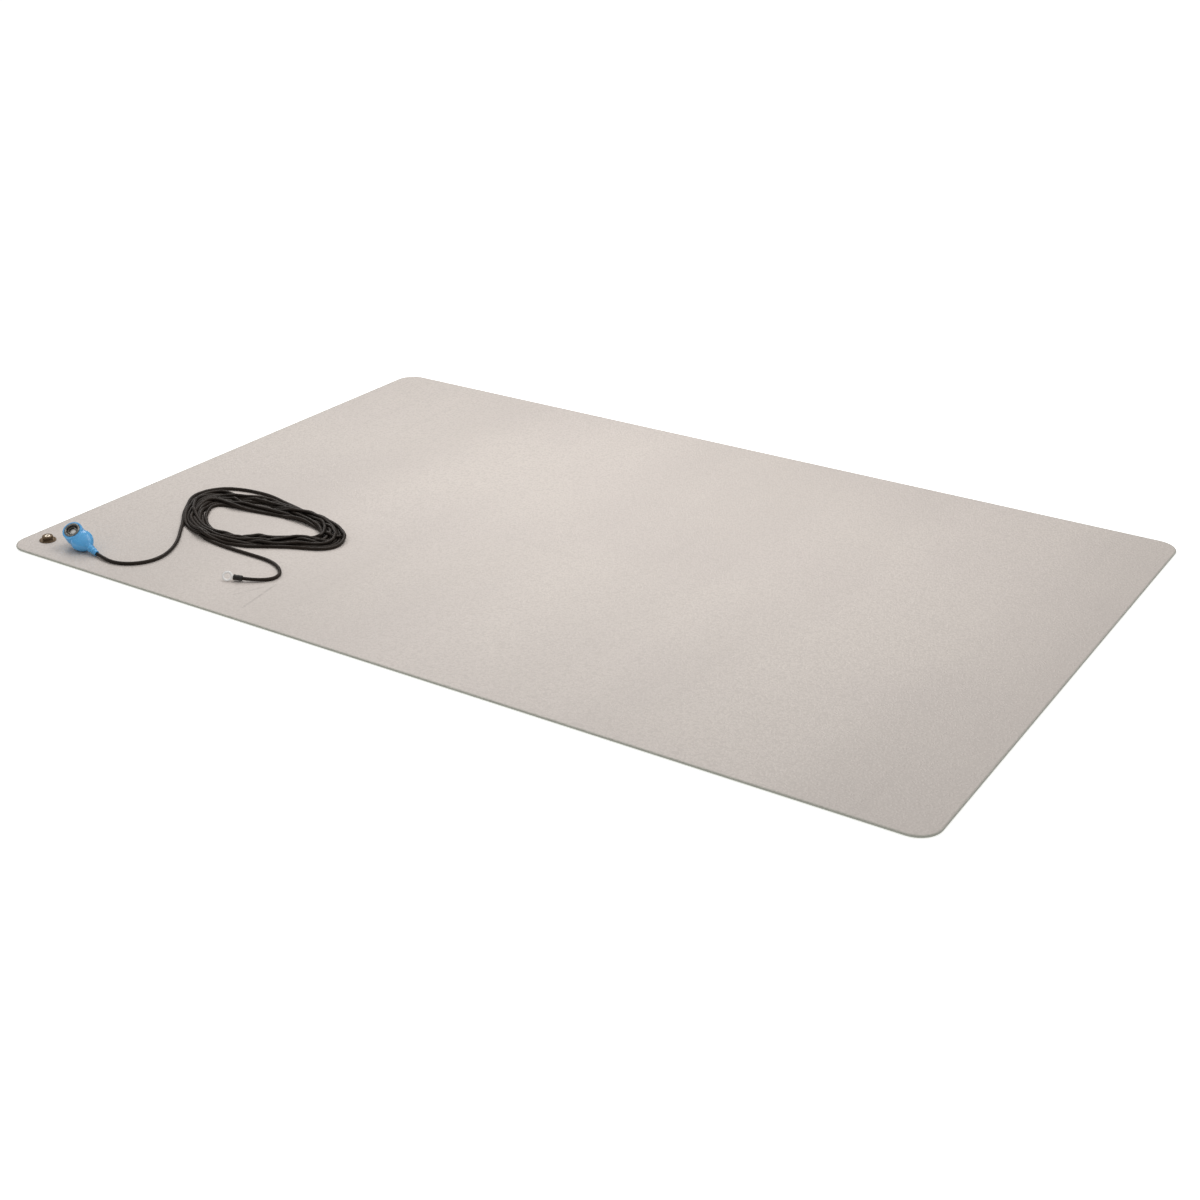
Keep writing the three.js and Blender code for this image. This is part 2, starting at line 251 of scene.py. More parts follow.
def pebble_group():
    """Pebble grain: rounded cells of mixed size with fine creases between them."""
    group, given, result = new_group(
        "Pebble grain",
        [("Position", "NodeSocketVector", None), ("Cells per metre", "NodeSocketFloat", 600.0),
         ("Unevenness", "NodeSocketFloat", 0.5)],
        [("Height", "NodeSocketFloat"), ("Creases", "NodeSocketFloat")])
    warp = add_node(group, "ShaderNodeTexNoise", Vector=given.outputs["Position"], Scale=420.0, Detail=2.0)
    shift = add_node(group, "ShaderNodeVectorMath", {"operation": "SUBTRACT"},
                     i0=warp.outputs["Color"], i1=(0.5, 0.5, 0.5))
    small = add_node(group, "ShaderNodeVectorMath", {"operation": "SCALE"}, i0=shift.outputs[0], Scale=0.0011)
    place = add_node(group, "ShaderNodeVectorMath", {"operation": "ADD"},
                     i0=given.outputs["Position"], i1=small.outputs[0])
    cells = add_node(group, "ShaderNodeTexVoronoi", {"feature": "SMOOTH_F1"}, Vector=place.outputs[0],
                     Scale=given.outputs["Cells per metre"], Smoothness=0.35)
    wide = add_node(group, "ShaderNodeTexNoise", Vector=place.outputs[0], Scale=260.0, Detail=3.0)
    dome = ramp(group, cells.outputs["Distance"], 0.0, 0.62, 1.0, 0.0)
    uneven = math_node(group, "MULTIPLY", wide.outputs["Fac"], given.outputs["Unevenness"])
    group.links.new(math_node(group, "ADD", dome, uneven), result.inputs["Height"])
    group.links.new(ramp(group, cells.outputs["Distance"], 0.45, 0.75), result.inputs["Creases"])
    return group


def mottle_group():
    """Slow patches and finer specks that vary a colour and a roughness."""
    group, given, result = new_group(
        "Mottle",
        [("Position", "NodeSocketVector", None), ("Patches per metre", "NodeSocketFloat", 6.0),
         ("Specks per metre", "NodeSocketFloat", 400.0)],
        [("Patches", "NodeSocketFloat"), ("Specks", "NodeSocketFloat")])
    patches = add_node(group, "ShaderNodeTexNoise", Vector=given.outputs["Position"],
                       Scale=given.outputs["Patches per metre"], Detail=3.0, Roughness=0.55)
    specks = add_node(group, "ShaderNodeTexNoise", Vector=given.outputs["Position"],
                      Scale=given.outputs["Specks per metre"], Detail=4.0, Roughness=0.6)
    group.links.new(ramp(group, patches.outputs["Fac"], 0.32, 0.68), result.inputs["Patches"])
    group.links.new(ramp(group, specks.outputs["Fac"], 0.35, 0.65), result.inputs["Specks"])
    return group


def curvature_masks_group():
    """Masks by curvature: edges, where the surface stands out, and hollows; they carry rubbed wear, tarnish,
    painted shade and painted highlight.
    """
    group, given, result = new_group(
        "Edges and hollows",
        [("Position", "NodeSocketVector", None), ("Breakup per metre", "NodeSocketFloat", 900.0)],
        [("Edges", "NodeSocketFloat"), ("Hollows", "NodeSocketFloat")])
    geometry = group.nodes.new("ShaderNodeNewGeometry")
    noise = add_node(group, "ShaderNodeTexNoise", Vector=given.outputs["Position"],
                     Scale=given.outputs["Breakup per metre"], Detail=3.0)
    broken = math_node(group, "MULTIPLY_ADD", noise.outputs["Fac"], 0.12, -0.06)
    bent = math_node(group, "ADD", geometry.outputs["Pointiness"], broken)
    group.links.new(ramp(group, bent, 0.51, 0.6), result.inputs["Edges"])
    group.links.new(ramp(group, bent, 0.49, 0.4), result.inputs["Hollows"])
    return group


def scratch_group():
    """Fine straight scratches in all directions."""
    group, given, result = new_group(
        "Fine scratches",
        [("Position", "NodeSocketVector", None), ("Scratches per metre", "NodeSocketFloat", 260.0)],
        [("Scratches", "NodeSocketFloat")])
    total = None
    for turn, stretch in ((0.4, (1.0, 0.05, 1.0)), (1.5, (0.07, 1.0, 1.0)), (2.5, (1.0, 0.04, 1.0))):
        place = add_node(group, "ShaderNodeMapping", Vector=given.outputs["Position"],
                         Rotation=(0.0, 0.0, turn), Scale=stretch)
        lines = add_node(group, "ShaderNodeTexNoise", Vector=place.outputs[0],
                         Scale=given.outputs["Scratches per metre"], Detail=2.0)
        line = ramp(group, lines.outputs["Fac"], 0.66, 0.74)
        total = line if total is None else math_node(group, "MAXIMUM", total, line)
    group.links.new(total, result.inputs["Scratches"])
    return group


def rim_group():
    """How near a point is to the edge of a rounded rectangle, from 0 inside to 1 at the edge."""
    group, given, result = new_group(
        "Near the edge",
        [("Position", "NodeSocketVector", None), ("Half size", "NodeSocketVector", (0.45, 0.3, 0.0)),
         ("Corner radius", "NodeSocketFloat", 0.02), ("Width", "NodeSocketFloat", 0.0015)],
        [("Edge", "NodeSocketFloat")])
    beyond = add_node(group, "ShaderNodeVectorMath", {"operation": "ABSOLUTE"}, i0=given.outputs["Position"])
    beyond = add_node(group, "ShaderNodeVectorMath", {"operation": "SUBTRACT"}, i0=beyond.outputs[0],
                      i1=given.outputs["Half size"])
    apart = add_node(group, "ShaderNodeSeparateXYZ", Vector=beyond.outputs[0])
    sides = [math_node(group, "MAXIMUM", math_node(group, "ADD", apart.outputs[axis],
                                                   given.outputs["Corner radius"])) for axis in (0, 1)]
    squares = math_node(group, "ADD", math_node(group, "POWER", sides[0], 2.0),
                        math_node(group, "POWER", sides[1], 2.0))
    inside = math_node(group, "SUBTRACT", given.outputs["Corner radius"], math_node(group, "SQRT", squares))
    share = math_node(group, "DIVIDE", inside, given.outputs["Width"])
    group.links.new(ramp(group, share, 1.3, 0.5), result.inputs["Edge"])
    return group


def shadow_line_group():
    """One soft straight line of painted shadow, given by its middle, its turn and its size."""
    group, given, result = new_group(
        "Painted shadow line",
        [("Position", "NodeSocketVector", None), ("Middle", "NodeSocketVector", None),
         ("Turn", "NodeSocketVector", None), ("Half length", "NodeSocketFloat", 0.02),
         ("Half width", "NodeSocketFloat", 0.001)],
        [("Painted shadow", "NodeSocketFloat")])
    place = add_node(group, "ShaderNodeVectorMath", {"operation": "SUBTRACT"}, i0=given.outputs["Position"],
                     i1=given.outputs["Middle"])
    turn = add_node(group, "ShaderNodeVectorRotate", {"rotation_type": "EULER_XYZ"}, Vector=place.outputs[0],
                    Rotation=given.outputs["Turn"])
    apart = add_node(group, "ShaderNodeSeparateXYZ", Vector=turn.outputs[0])
    along, across = (
        math_node(group, "DIVIDE", math_node(group, "ABSOLUTE", apart.outputs[axis]), given.outputs[half])
        for axis, half in ((0, "Half length"), (1, "Half width")))
    broken = add_node(group, "ShaderNodeTexNoise", Vector=given.outputs["Position"], Scale=160.0, Detail=2.0)
    line = math_node(group, "MULTIPLY", ramp(group, along, 1.0, 0.6), ramp(group, across, 1.0, 0.2))
    patchy = ramp(group, broken.outputs["Fac"], 0.3, 0.6, 0.35, 1.0)
    group.links.new(math_node(group, "MULTIPLY", line, patchy), result.inputs["Painted shadow"])
    return group


GROUP_MAKERS = {
    "Near the edge": rim_group,
    "Painted shadow line": shadow_line_group,
    "Pebble grain": pebble_group,
    "Mottle": mottle_group,
    "Edges and hollows": curvature_masks_group,
    "Fine scratches": scratch_group,
}


def place_group(tree, name, **values):
    """One of the shared groups, made on first use, with its own values."""
    group = bpy.data.node_groups.get(name) or GROUP_MAKERS[name]()
    node = tree.nodes.new("ShaderNodeGroup")
    node.node_tree = group
    for key, value in values.items():
        feed(tree, node.inputs[key.replace("_", " ")], value)
    return node


def new_material(name, **constants):
    """A material with a Principled shader, its constant sockets set, and the object's position."""
    material = bpy.data.materials.new(name)
    material.use_nodes = True
    tree = material.node_tree
    tree.nodes.clear()
    output = tree.nodes.new("ShaderNodeOutputMaterial")
    shader = tree.nodes.new("ShaderNodeBsdfPrincipled")
    tree.links.new(shader.outputs[0], output.inputs[0])
    for key, value in constants.items():
        shader.inputs[key.replace("_", " ")].default_value = value
    place = tree.nodes.new("ShaderNodeTexCoord").outputs["Object"]
    return material, tree, shader, place


def mix_colour(tree, factor, first, second, blend="MIX"):
    node = tree.nodes.new("ShaderNodeMix")
    node.data_type = "RGBA"
    node.blend_type = blend
    for index, value in ((0, factor), (6, first), (7, second)):
        feed(tree, node.inputs[index], value)
    return node.outputs[2]


def rgba(colour, factor=1.0):
    return tuple(min(1.0, channel * factor) for channel in colour) + (1.0,)


def bump(tree, shader, height, distance, strength):
    node = add_node(tree, "ShaderNodeBump", Height=height, Distance=distance, Strength=strength)
    tree.links.new(node.outputs[0], shader.inputs["Normal"])


def fine_wear(tree, shader, mottle, scratches, speck, base, scratch, depth):
    """Roughness and bump of a smooth surface, from its specks and its scratches."""
    specks, lines = mottle.outputs["Specks"], scratches.outputs["Scratches"]
    rough = math_node(tree, "MULTIPLY_ADD", specks, speck, base)
    rough = math_node(tree, "MULTIPLY_ADD", lines, scratch, rough)
    tree.links.new(rough, shader.inputs["Roughness"])
    bump(tree, shader, math_node(tree, "MULTIPLY_ADD", lines, depth, specks), 0.00003, 0.5)


# Mesh helpers

def add_object(name, vertices, faces, material, smooth=True):
    mesh = bpy.data.meshes.new(name)
    mesh.from_pydata([tuple(float(c) for c in v) for v in vertices], [], faces)
    mesh.validate()
    mesh.update()
    if smooth:
        mesh.shade_smooth()
    thing = bpy.data.objects.new(name, mesh)
    bpy.context.scene.collection.objects.link(thing)
    if material is not None:
        mesh.materials.append(material)
    return thing


def turned(profile, sides, closed=False):
    """A profile of (radius, height) points turned about Z; points on the axis become one vertex."""
    vertices, faces, rings = [], [], []
    for radius, height in profile:
        if radius <= 1e-9:
            rings.append([len(vertices)])
            vertices.append((0.0, 0.0, height))
            continue
        rings.append(list(range(len(vertices), len(vertices) + sides)))
        for side in range(sides):
            angle = 2 * math.pi * side / sides
            vertices.append((radius * math.cos(angle), radius * math.sin(angle), height))
    pairs = list(zip(rings, rings[1:]))
    if closed:
        pairs.append((rings[-1], rings[0]))
    for lower, upper in pairs:
        for side in range(sides):
            after = (side + 1) % sides
            if len(lower) == 1 and len(upper) == 1:
                continue
            if len(lower) == 1:
                faces.append((lower[0], upper[after], upper[side]))
            elif len(upper) == 1:
                faces.append((lower[side], lower[after], upper[0]))
            else:
                faces.append((lower[side], lower[after], upper[after], upper[side]))
    return np.array(vertices), faces


def arc(radius, height, size, start, end, steps=6):
    """Points of an arc around (radius, height), from one angle in degrees to another."""
    angles = np.radians(np.linspace(start, end, steps + 1))
    return [(radius + size * math.cos(a), height + size * math.sin(a)) for a in angles]


def fix_normals(thing):
    mesh = bmesh.new()
    mesh.from_mesh(thing.data)
    bmesh.ops.recalc_face_normals(mesh, faces=mesh.faces)
    mesh.to_mesh(thing.data)
    mesh.free()


def closed_object(name, vertices, faces, material):
    """An object whose faces all point outward."""
    thing = add_object(name, vertices, faces, material)
    fix_normals(thing)
    return thing


def apply_modifiers(thing):
    graph = bpy.context.evaluated_depsgraph_get()
    mesh = bpy.data.meshes.new_from_object(thing.evaluated_get(graph), depsgraph=graph)
    thing.modifiers.clear()
    old = thing.data
    thing.data = mesh
    bpy.data.meshes.remove(old)


def cut_away(thing, name, vertices, faces):
    """Cuts a closed shape out of a piece."""
    cutter = closed_object("cutter", vertices, faces, None)
    cut = thing.modifiers.new(name, "BOOLEAN")
    cut.operation = "DIFFERENCE"
    cut.solver = "EXACT"
    cut.object = cutter
    apply_modifiers(thing)
    bpy.data.objects.remove(cutter)


def lengthwise(vertices, x=0.0):
    """Turns a shape made along Z to lie along X."""
    vertices = np.asarray(vertices)
    return np.stack([vertices[:, 2] + x, vertices[:, 1], -vertices[:, 0]], axis=1)


def skin(rings, sides):
    """Faces of a body of rings with as many vertices each, capped at both ends."""
    faces = []
    for low in range(0, (rings - 1) * sides, sides):
        for side in range(sides):
            after = (side + 1) % sides
            faces.append((low + side, low + after, low + sides + after, low + sides + side))
    faces.append(tuple(range(sides - 1, -1, -1)))
    last = (rings - 1) * sides
    faces.append(tuple(range(last, last + sides)))
    return faces


def join_meshes(parts):
    """Vertices and faces of several meshes as one list of each."""
    vertices, faces, start = [], [], 0
    for part_vertices, part_faces in parts:
        vertices.extend(np.asarray(part_vertices).tolist())
        faces.extend([tuple(index + start for index in face) for face in part_faces])
        start += len(part_vertices)
    return vertices, faces


def move_mesh(thing, matrix):
    """A piece's place is in its mesh, as it is for the solids."""
    thing.data.transform(matrix)
    thing.data.update()


def dress(thing, slot, *nodes):
    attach(thing, BODY)
    if nodes:
        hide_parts(*nodes)
    return thing


def catmull(points, per_span, closed=False):
    """A smooth centripetal curve through the points, as an array."""
    points = np.array(points, float)
    if closed:
        points = np.vstack([points[-1], points, points[0], points[1]])
    else:
        points = np.vstack([2 * points[0] - points[1], points, 2 * points[-1] - points[-2]])
    out = []
    for index in range(1, len(points) - 2):
        p0, p1, p2, p3 = points[index - 1:index + 3]
        knots = [0.0]
        for a, b in ((p0, p1), (p1, p2), (p2, p3)):
            knots.append(knots[-1] + max(1e-9, np.linalg.norm((b - a)[:2])) ** 0.5)
        t0, t1, t2, t3 = knots
        for t in np.linspace(t1, t2, per_span, endpoint=False):
            a1 = (t1 - t) / (t1 - t0) * p0 + (t - t0) / (t1 - t0) * p1
            a2 = (t2 - t) / (t2 - t1) * p1 + (t - t1) / (t2 - t1) * p2
            a3 = (t3 - t) / (t3 - t2) * p2 + (t - t2) / (t3 - t2) * p3
            b1 = (t2 - t) / (t2 - t0) * a1 + (t - t0) / (t2 - t0) * a2
            b2 = (t3 - t) / (t3 - t1) * a2 + (t - t1) / (t3 - t1) * a3
            out.append((t2 - t) / (t2 - t1) * b1 + (t - t1) / (t2 - t1) * b2)
    if not closed:
        out.append(points[-2])
    return np.array(out)


def resample(points, step):
    """The same line with evenly spaced points."""
    lengths = np.concatenate([[0], np.cumsum(np.linalg.norm(np.diff(points, axis=0), axis=1))])
    count = max(2, int(round(lengths[-1] / step)) + 1)
    along = np.linspace(0, lengths[-1], count)
    return np.stack([np.interp(along, lengths, points[:, axis]) for axis in range(points.shape[1])], axis=1)


def tube(points, radius, sides):
    """A round tube along the points, with frames carried along without twist."""
    points = np.asarray(points, float)
    tangents = np.gradient(points, axis=0)
    tangents /= np.linalg.norm(tangents, axis=1, keepdims=True)
    across = np.cross(tangents[0], (0, 0, 1.0))
    across /= np.linalg.norm(across)
    vertices = []
    angles = 2 * np.pi * np.arange(sides) / sides
    for point, tangent in zip(points, tangents):
        across = across - tangent * (across @ tangent)
        across /= np.linalg.norm(across)
        second = np.cross(tangent, across)
        ring = point + radius * (np.outer(np.cos(angles), across) + np.outer(np.sin(angles), second))
        vertices.extend(ring.tolist())
    return vertices, skin(len(points), sides)


# The cord

COIL_SLICES = 132
RELAX_STEPS = 900
# Points at either end of the turns that are held, and those after them over which the hold fades
HELD_START, FADE_START = 46, 16
HELD_END, FADE_END = 6, 24
# Points near the fold that keep to its two legs, and those over which that fades
NEAR_FOLD, FADE_FOLD = 12, 24
# Slices between the knots of the turns' wander and of their height, before and after the fold
WANDER_SPACING = (41, 37)
HEIGHT_SPACING = (33, 35)
# Share of the turns that lie on the inner side of the gap in the bundle
INNER_SHARE = 0.42
# One step of the relaxation: pull towards a straight run, drop in mm, push apart, spacing in diameters
STRAIGHTEN, DROP, PUSH_APART, SPACING = 0.45, 0.045, 0.3, 1.03
# The first turn round the coil's left end: slice, and how far out of the coil's middle line, in mm
OUTER_PASS = [
    (104, 9.6), (110, 10.2), (116, 11.8), (120, 12.8), (124, 13.6), (127, 15.0), (130, 19.4), (132, 23.6),
    (133, 26.4), (134, 28.2), (137, 29.8), (140, 30.2), (143, 29.6), (147, 27.4), (150, 24.6), (154, 19.6),
    (158, 16.5), (163, 12.5), (170, 9.0),
]
# How far the turns lie from the middle line: slice, inner side, outer side, and the gap that parts them
BUNDLE_SIDES = [
    (0, -9, 17, 0), (3, -11, 16, 4), (6, -13, 15, 6), (9, -13, 16, 8), (12, -12, 19, 10), (16, -12, 19, 10),
    (20, -11, 15, 8), (25, -10, 10, 2), (30, -8, 8, 0), (40, -7, 7, 0), (50, -9, 9, 0), (56, -10, 11, 0),
    (60, -11, 10, 0), (66, -15, 8, 0), (71, -17, 7, 0), (76, -15, 6, 0), (82, -11, 6, 0), (88, -8, 6.5, 0),
    (100, -6.5, 7, 0), (108, -7.5, 9, 0), (116, -8.5, 11.5, 0), (122, -9, 12.5, 0), (127, -9, 13.5, 0),
    (132, -9, 17, 0),
]


def coil_frame():
    """The coil's middle line in slices, in mm: place, direction along and outward, half width and height."""
    stations = np.array(COIL_STATIONS, float)
    line = catmull(stations, 60, closed=True)
    closed_line = np.vstack([line, line[:1]])
    even = resample(closed_line, 1.0)
    picks = np.linspace(0, len(even) - 1, COIL_SLICES + 1)[:-1]
    slices = np.stack([np.interp(picks, np.arange(len(even)), even[:, axis]) for axis in range(4)], axis=1)
    forward = np.roll(slices[:, :2], -1, axis=0) - np.roll(slices[:, :2], 1, axis=0)
    forward /= np.linalg.norm(forward, axis=1, keepdims=True)
    outward = np.stack([-forward[:, 1], forward[:, 0]], axis=1)
    return slices[:, :2], forward, outward, slices[:, 2], slices[:, 3]


def slice_of(point, middle, forward):
    """The slice, with a fraction, whose plane holds a point."""
    nearest = int(np.argmin(np.linalg.norm(middle - point, axis=1)))
    step = np.linalg.norm(middle[(nearest + 1) % COIL_SLICES] - middle[nearest])
    return nearest + (point - middle[nearest]) @ forward[nearest] / step


def smooth_random(random, count, spacing):
    """A smooth wandering line of numbers between about -1 and 1."""
    knots = random.uniform(-1, 1, count // spacing + 5)
    places = np.arange(count) / spacing + 1
    base = places.astype(int)
    part = places - base
    p0, p1, p2, p3 = (knots[base + offset] for offset in (-1, 0, 1, 2))
    return 0.5 * (2 * p1 + (p2 - p0) * part + (2 * p0 - 5 * p1 + 4 * p2 - p3) * part ** 2
                  + (3 * p1 - p0 - 3 * p2 + p3) * part ** 3)


def coil_turns(settings):
    """The cord's turns in the coil: in clockwise to the fold, out the other way to the tail, in mm.

    Each turn is a point in every slice of the coil. The points are pushed a diameter apart, drawn
    together sideways so that they pile up, kept on the mat, and drawn smooth along the cord. The
    first turn lies on the mat by itself round the coil's left end, as OUTER_PASS gives."""
    diameter = settings.diameter / MM
    middle, forward, outward, half_width, half_height = coil_frame()
    lead_end = np.array(LEAD_ROUTE[-1][:2])
    tail_end = np.array(TAIL_ROUTE[0][:2])
    first = int(round(slice_of(lead_end, middle, forward)))
    last = int(round(slice_of(tail_end, middle, forward)))
    fold = first + int(round(settings.turns_in * COIL_SLICES))
    end = fold - int(round(settings.turns_out * COIL_SLICES))
    end = last + COIL_SLICES * int(round((end - last) / COIL_SLICES))
    order = np.concatenate([np.arange(first, fold + 1), np.arange(fold, end - 1, -1)])
    cut = fold + 1 - first
    count = len(order)
    place = order % COIL_SLICES
    random = np.random.default_rng(settings.seed)
    reach = half_width[place] - diameter / 2
    legs = (cut, count - cut)
    wander = np.concatenate([smooth_random(random, *leg) for leg in zip(legs, WANDER_SPACING)])
    sides = np.array(BUNDLE_SIDES).T
    low, high, split = (np.interp(place, sides[0], column) for column in sides[1:])
    rank = np.zeros(count)
    for spot in range(COIL_SLICES):
        there = np.flatnonzero(place == spot)
        rank[there] = np.argsort(np.argsort(wander[there])) / (len(there) - 1)
    wish = low + rank * (high - low - split) + np.where(rank > INNER_SHARE, split, 0)
    starts = np.arange(count)
    near_start = np.clip(1 - (starts - HELD_START) / FADE_START, 0, 1)
    near_end = np.clip(1 - (starts[::-1] - HELD_END) / FADE_END, 0, 1)
    near_fold = np.clip(1 - (np.abs(starts - (cut - 0.5)) - NEAR_FOLD) / FADE_FOLD, 0, 1)
    leg = np.where(starts < cut, reach + 0.4, reach - 4.4 * diameter)
    wish = wish * (1 - near_fold) + leg * near_fold
    wish = wish * (1 - near_end) + reach * near_end
    outer = np.interp(order, *np.array(OUTER_PASS).T)
    wish = np.where(near_start > 0, wish * (1 - near_start) + outer * near_start, wish)
    fixed = (starts < HELD_START) | (starts >= count - HELD_END)
    fixed_side = wish.copy()
    lead_side = (lead_end - middle[place[0]]) @ outward[place[0]]
    tail_side = (tail_end - middle[place[-1]]) @ outward[place[-1]]
    fixed_side[:5] += (lead_side - wish[0]) * (1 - starts[:5] / 5)
    fixed_side[-6:] += (tail_side - wish[-1]) * (1 - starts[:6][::-1] / 6)
    limit = np.maximum(np.maximum(reach, high) + 0.4, np.where(near_start > 0, outer, 0))
    top = 2 * half_height[place] - diameter
    across = wish + random.normal(0, 0.3, count)
    height = np.concatenate([smooth_random(random, *leg) for leg in zip(legs, HEIGHT_SPACING)])
    height = np.abs(height) * top
    height = height * (1 - near_start) * (1 - near_end)

    slots = int(np.bincount(place, minlength=COIL_SLICES).max())
    table = -np.ones((COIL_SLICES, slots), int)
    filled = np.zeros(COIL_SLICES, int)
    for index, spot in enumerate(place):
        table[spot, filled[spot]] = index
        filled[spot] += 1
    used = table >= 0
    safe = np.where(used, table, 0)
    pair = used[:, :, None] & used[:, None, :] & ~np.eye(slots, dtype=bool)[None]
    apart = diameter * SPACING
    for _ in range(RELAX_STEPS):
        for values in (across, height):
            pull = STRAIGHTEN * (0.5 * (values[:-2] + values[2:]) - values[1:-1])
            pull[cut - 2:cut] = 0
            values[1:-1] += pull
        across += settings.gather * (wish - across)
        height -= DROP
        x, z = across[safe], height[safe]
        dx = x[:, :, None] - x[:, None, :]
        dz = z[:, :, None] - z[:, None, :]
        far = np.sqrt(dx ** 2 + dz ** 2) + 1e-6
        push = np.where(pair & (far < apart), PUSH_APART * (apart - far) / far, 0)
        np.add.at(across, safe[used], (push * dx).sum(axis=2)[used])
        np.add.at(height, safe[used], (push * dz).sum(axis=2)[used])
        across = np.where(fixed, fixed_side, np.clip(across, low - 0.5, limit))
        height = np.where(fixed, 0, np.clip(height, 0, top))
    points = np.column_stack([middle[place] + outward[place] * across[:, None], height])

    # The fold: half a turn in the plane of the sheet between the two legs
    half = (points[cut - 1] - points[cut]) / 2
    ahead = np.append(forward[place[cut]], 0) * np.linalg.norm(half[:2])
    angles = np.linspace(0, math.pi, 14)[1:-1, None]
    bend = (points[cut - 1] + points[cut]) / 2 + half * np.cos(angles) + ahead * np.sin(angles)
    return np.vstack([points[:cut], bend, points[cut:]])


def keep_apart(line, diameter, rounds):
    """Moves stretches of the cord that are nearer than a diameter apart, and smooths what moved."""
    count = len(line)
    apart = np.abs(np.subtract.outer(np.arange(count), np.arange(count))) > 8
    for _ in range(rounds):
        square = (line ** 2).sum(axis=1)
        far = np.sqrt(np.maximum(square[:, None] + square[None] - 2 * line @ line.T, 1e-6))
        near_one, near_two = np.nonzero(apart & (far < diameter))
        away = line[near_one] - line[near_two]
        size = 0.25 * (diameter - far[near_one, near_two]) / far[near_one, near_two]
        away[:, 2] *= 1.4
        move = np.zeros_like(line)
        np.add.at(move, near_one, away * size[:, None])
        move[:3] = move[-60:] = 0
        line = line + np.clip(move, -0.4, 0.4)
        inner = 0.5 * (line[:-2] + line[2:]) - line[1:-1]
        line[4:-4] += 0.3 * inner[3:-3]
        line[:, 2] = np.maximum(line[:, 2], 0)
    return line


def ease_bends(line, least, rounds):
    """Smooths the line only where it bends more tightly than it may."""
    for _ in range(rounds):
        first, middle, last = line[:-6], line[3:-3], line[6:]
        side_one, side_two = middle - first, last - middle
        area = np.linalg.norm(np.cross(side_one, side_two), axis=1) / 2
        lengths = (np.linalg.norm(side_one, axis=1) * np.linalg.norm(side_two, axis=1)
                   * np.linalg.norm(last - first, axis=1))
        tight = np.convolve(lengths / (4 * np.maximum(area, 1e-9)) < least, np.ones(7), mode="same") > 0
        inner = 0.5 * (line[2:-4] + line[4:-2]) - line[3:-3]
        line[3:-3] += 0.5 * inner * tight[:, None]
    return line


def cord_path(settings):
    """The cord's middle line from the housing to the ring terminal, in metres."""
    diameter = settings.diameter / MM
    level = MAT_TOP / MM + LIE_GAP / MM + diameter / 2
    lead = catmull(LEAD_ROUTE, 4)
    tail = catmull(TAIL_ROUTE, 4)
    turns = coil_turns(settings)
    line = resample(np.vstack([lead[:-1], turns[1:-1], tail[1:]]), 1.8)
    for _ in range(8):
        inner = 0.5 * (line[:-2] + line[2:])
        line[7:-7] += 0.5 * (inner - line[1:-1])[6:-6]
    line = ease_bends(line, diameter * 2.3, 60)
    line = keep_apart(line, diameter, 26)
    line = ease_bends(line, diameter * 2.1, 30)
    line[:, 2] = np.maximum(line[:, 2], 0) + level
    return resample(line, 2.0) * MM


def cord_material(settings):
    material, tree, shader, place = new_material(
        "Black cord jacket", Specular_IOR_Level=0.24, IOR=1.5,
        Specular_Tint=(1.0, 0.9, 0.82, 1.0))
    mottle = place_group(tree, "Mottle", Position=place, Patches_per_metre=30.0, Specks_per_metre=1500.0)
    base = mix_colour(tree, mottle.outputs["Patches"],
                      rgba(settings.colour, 0.8), rgba(settings.colour, 1.35))
    dust = math_node(tree, "MULTIPLY", mottle.outputs["Specks"], 0.15)
    colour = mix_colour(tree, dust, base, rgba((0.035, 0.028, 0.022)))
    tree.links.new(colour, shader.inputs["Base Color"])
    tree.links.new(ramp(tree, mottle.outputs["Patches"], 0.0, 1.0, 0.42, 0.56), shader.inputs["Roughness"])
    bump(tree, shader, mottle.outputs["Specks"], 0.00004, 0.6)
    return material


class BENCHMAT_OT_cord(bpy.types.Operator):
    """Build the ground cord with its coil"""
    bl_idname = "bench_mat.cord"
    bl_label = "Ground cord"

    def execute(self, context):
        settings = context.scene.bench_cord
        path = cord_path(settings)
        vertices, faces = tube(path, settings.diameter / 2, settings.sides)
        cord = add_object("ground_cord", vertices, faces, cord_material(settings))
        dress(cord, "cord", "cord_lead", "cord_coil", "cord_tail")
        context.scene["cord_path"] = [float(value) for value in path.ravel()]
        return {"FINISHED"}


# Camera, lights and floor

CAMERA_PLACE = (0.79165, -1.28634, 0.65979)
CAMERA_RIGHT = (0.84834, 0.52929, 0.01341)
CAMERA_FORWARD = (-0.47374, 0.77013, -0.42716)
CAMERA_LENS = 53.685
FLOOR_HALF = 8.0
FLOOR_HEIGHT = -0.0004

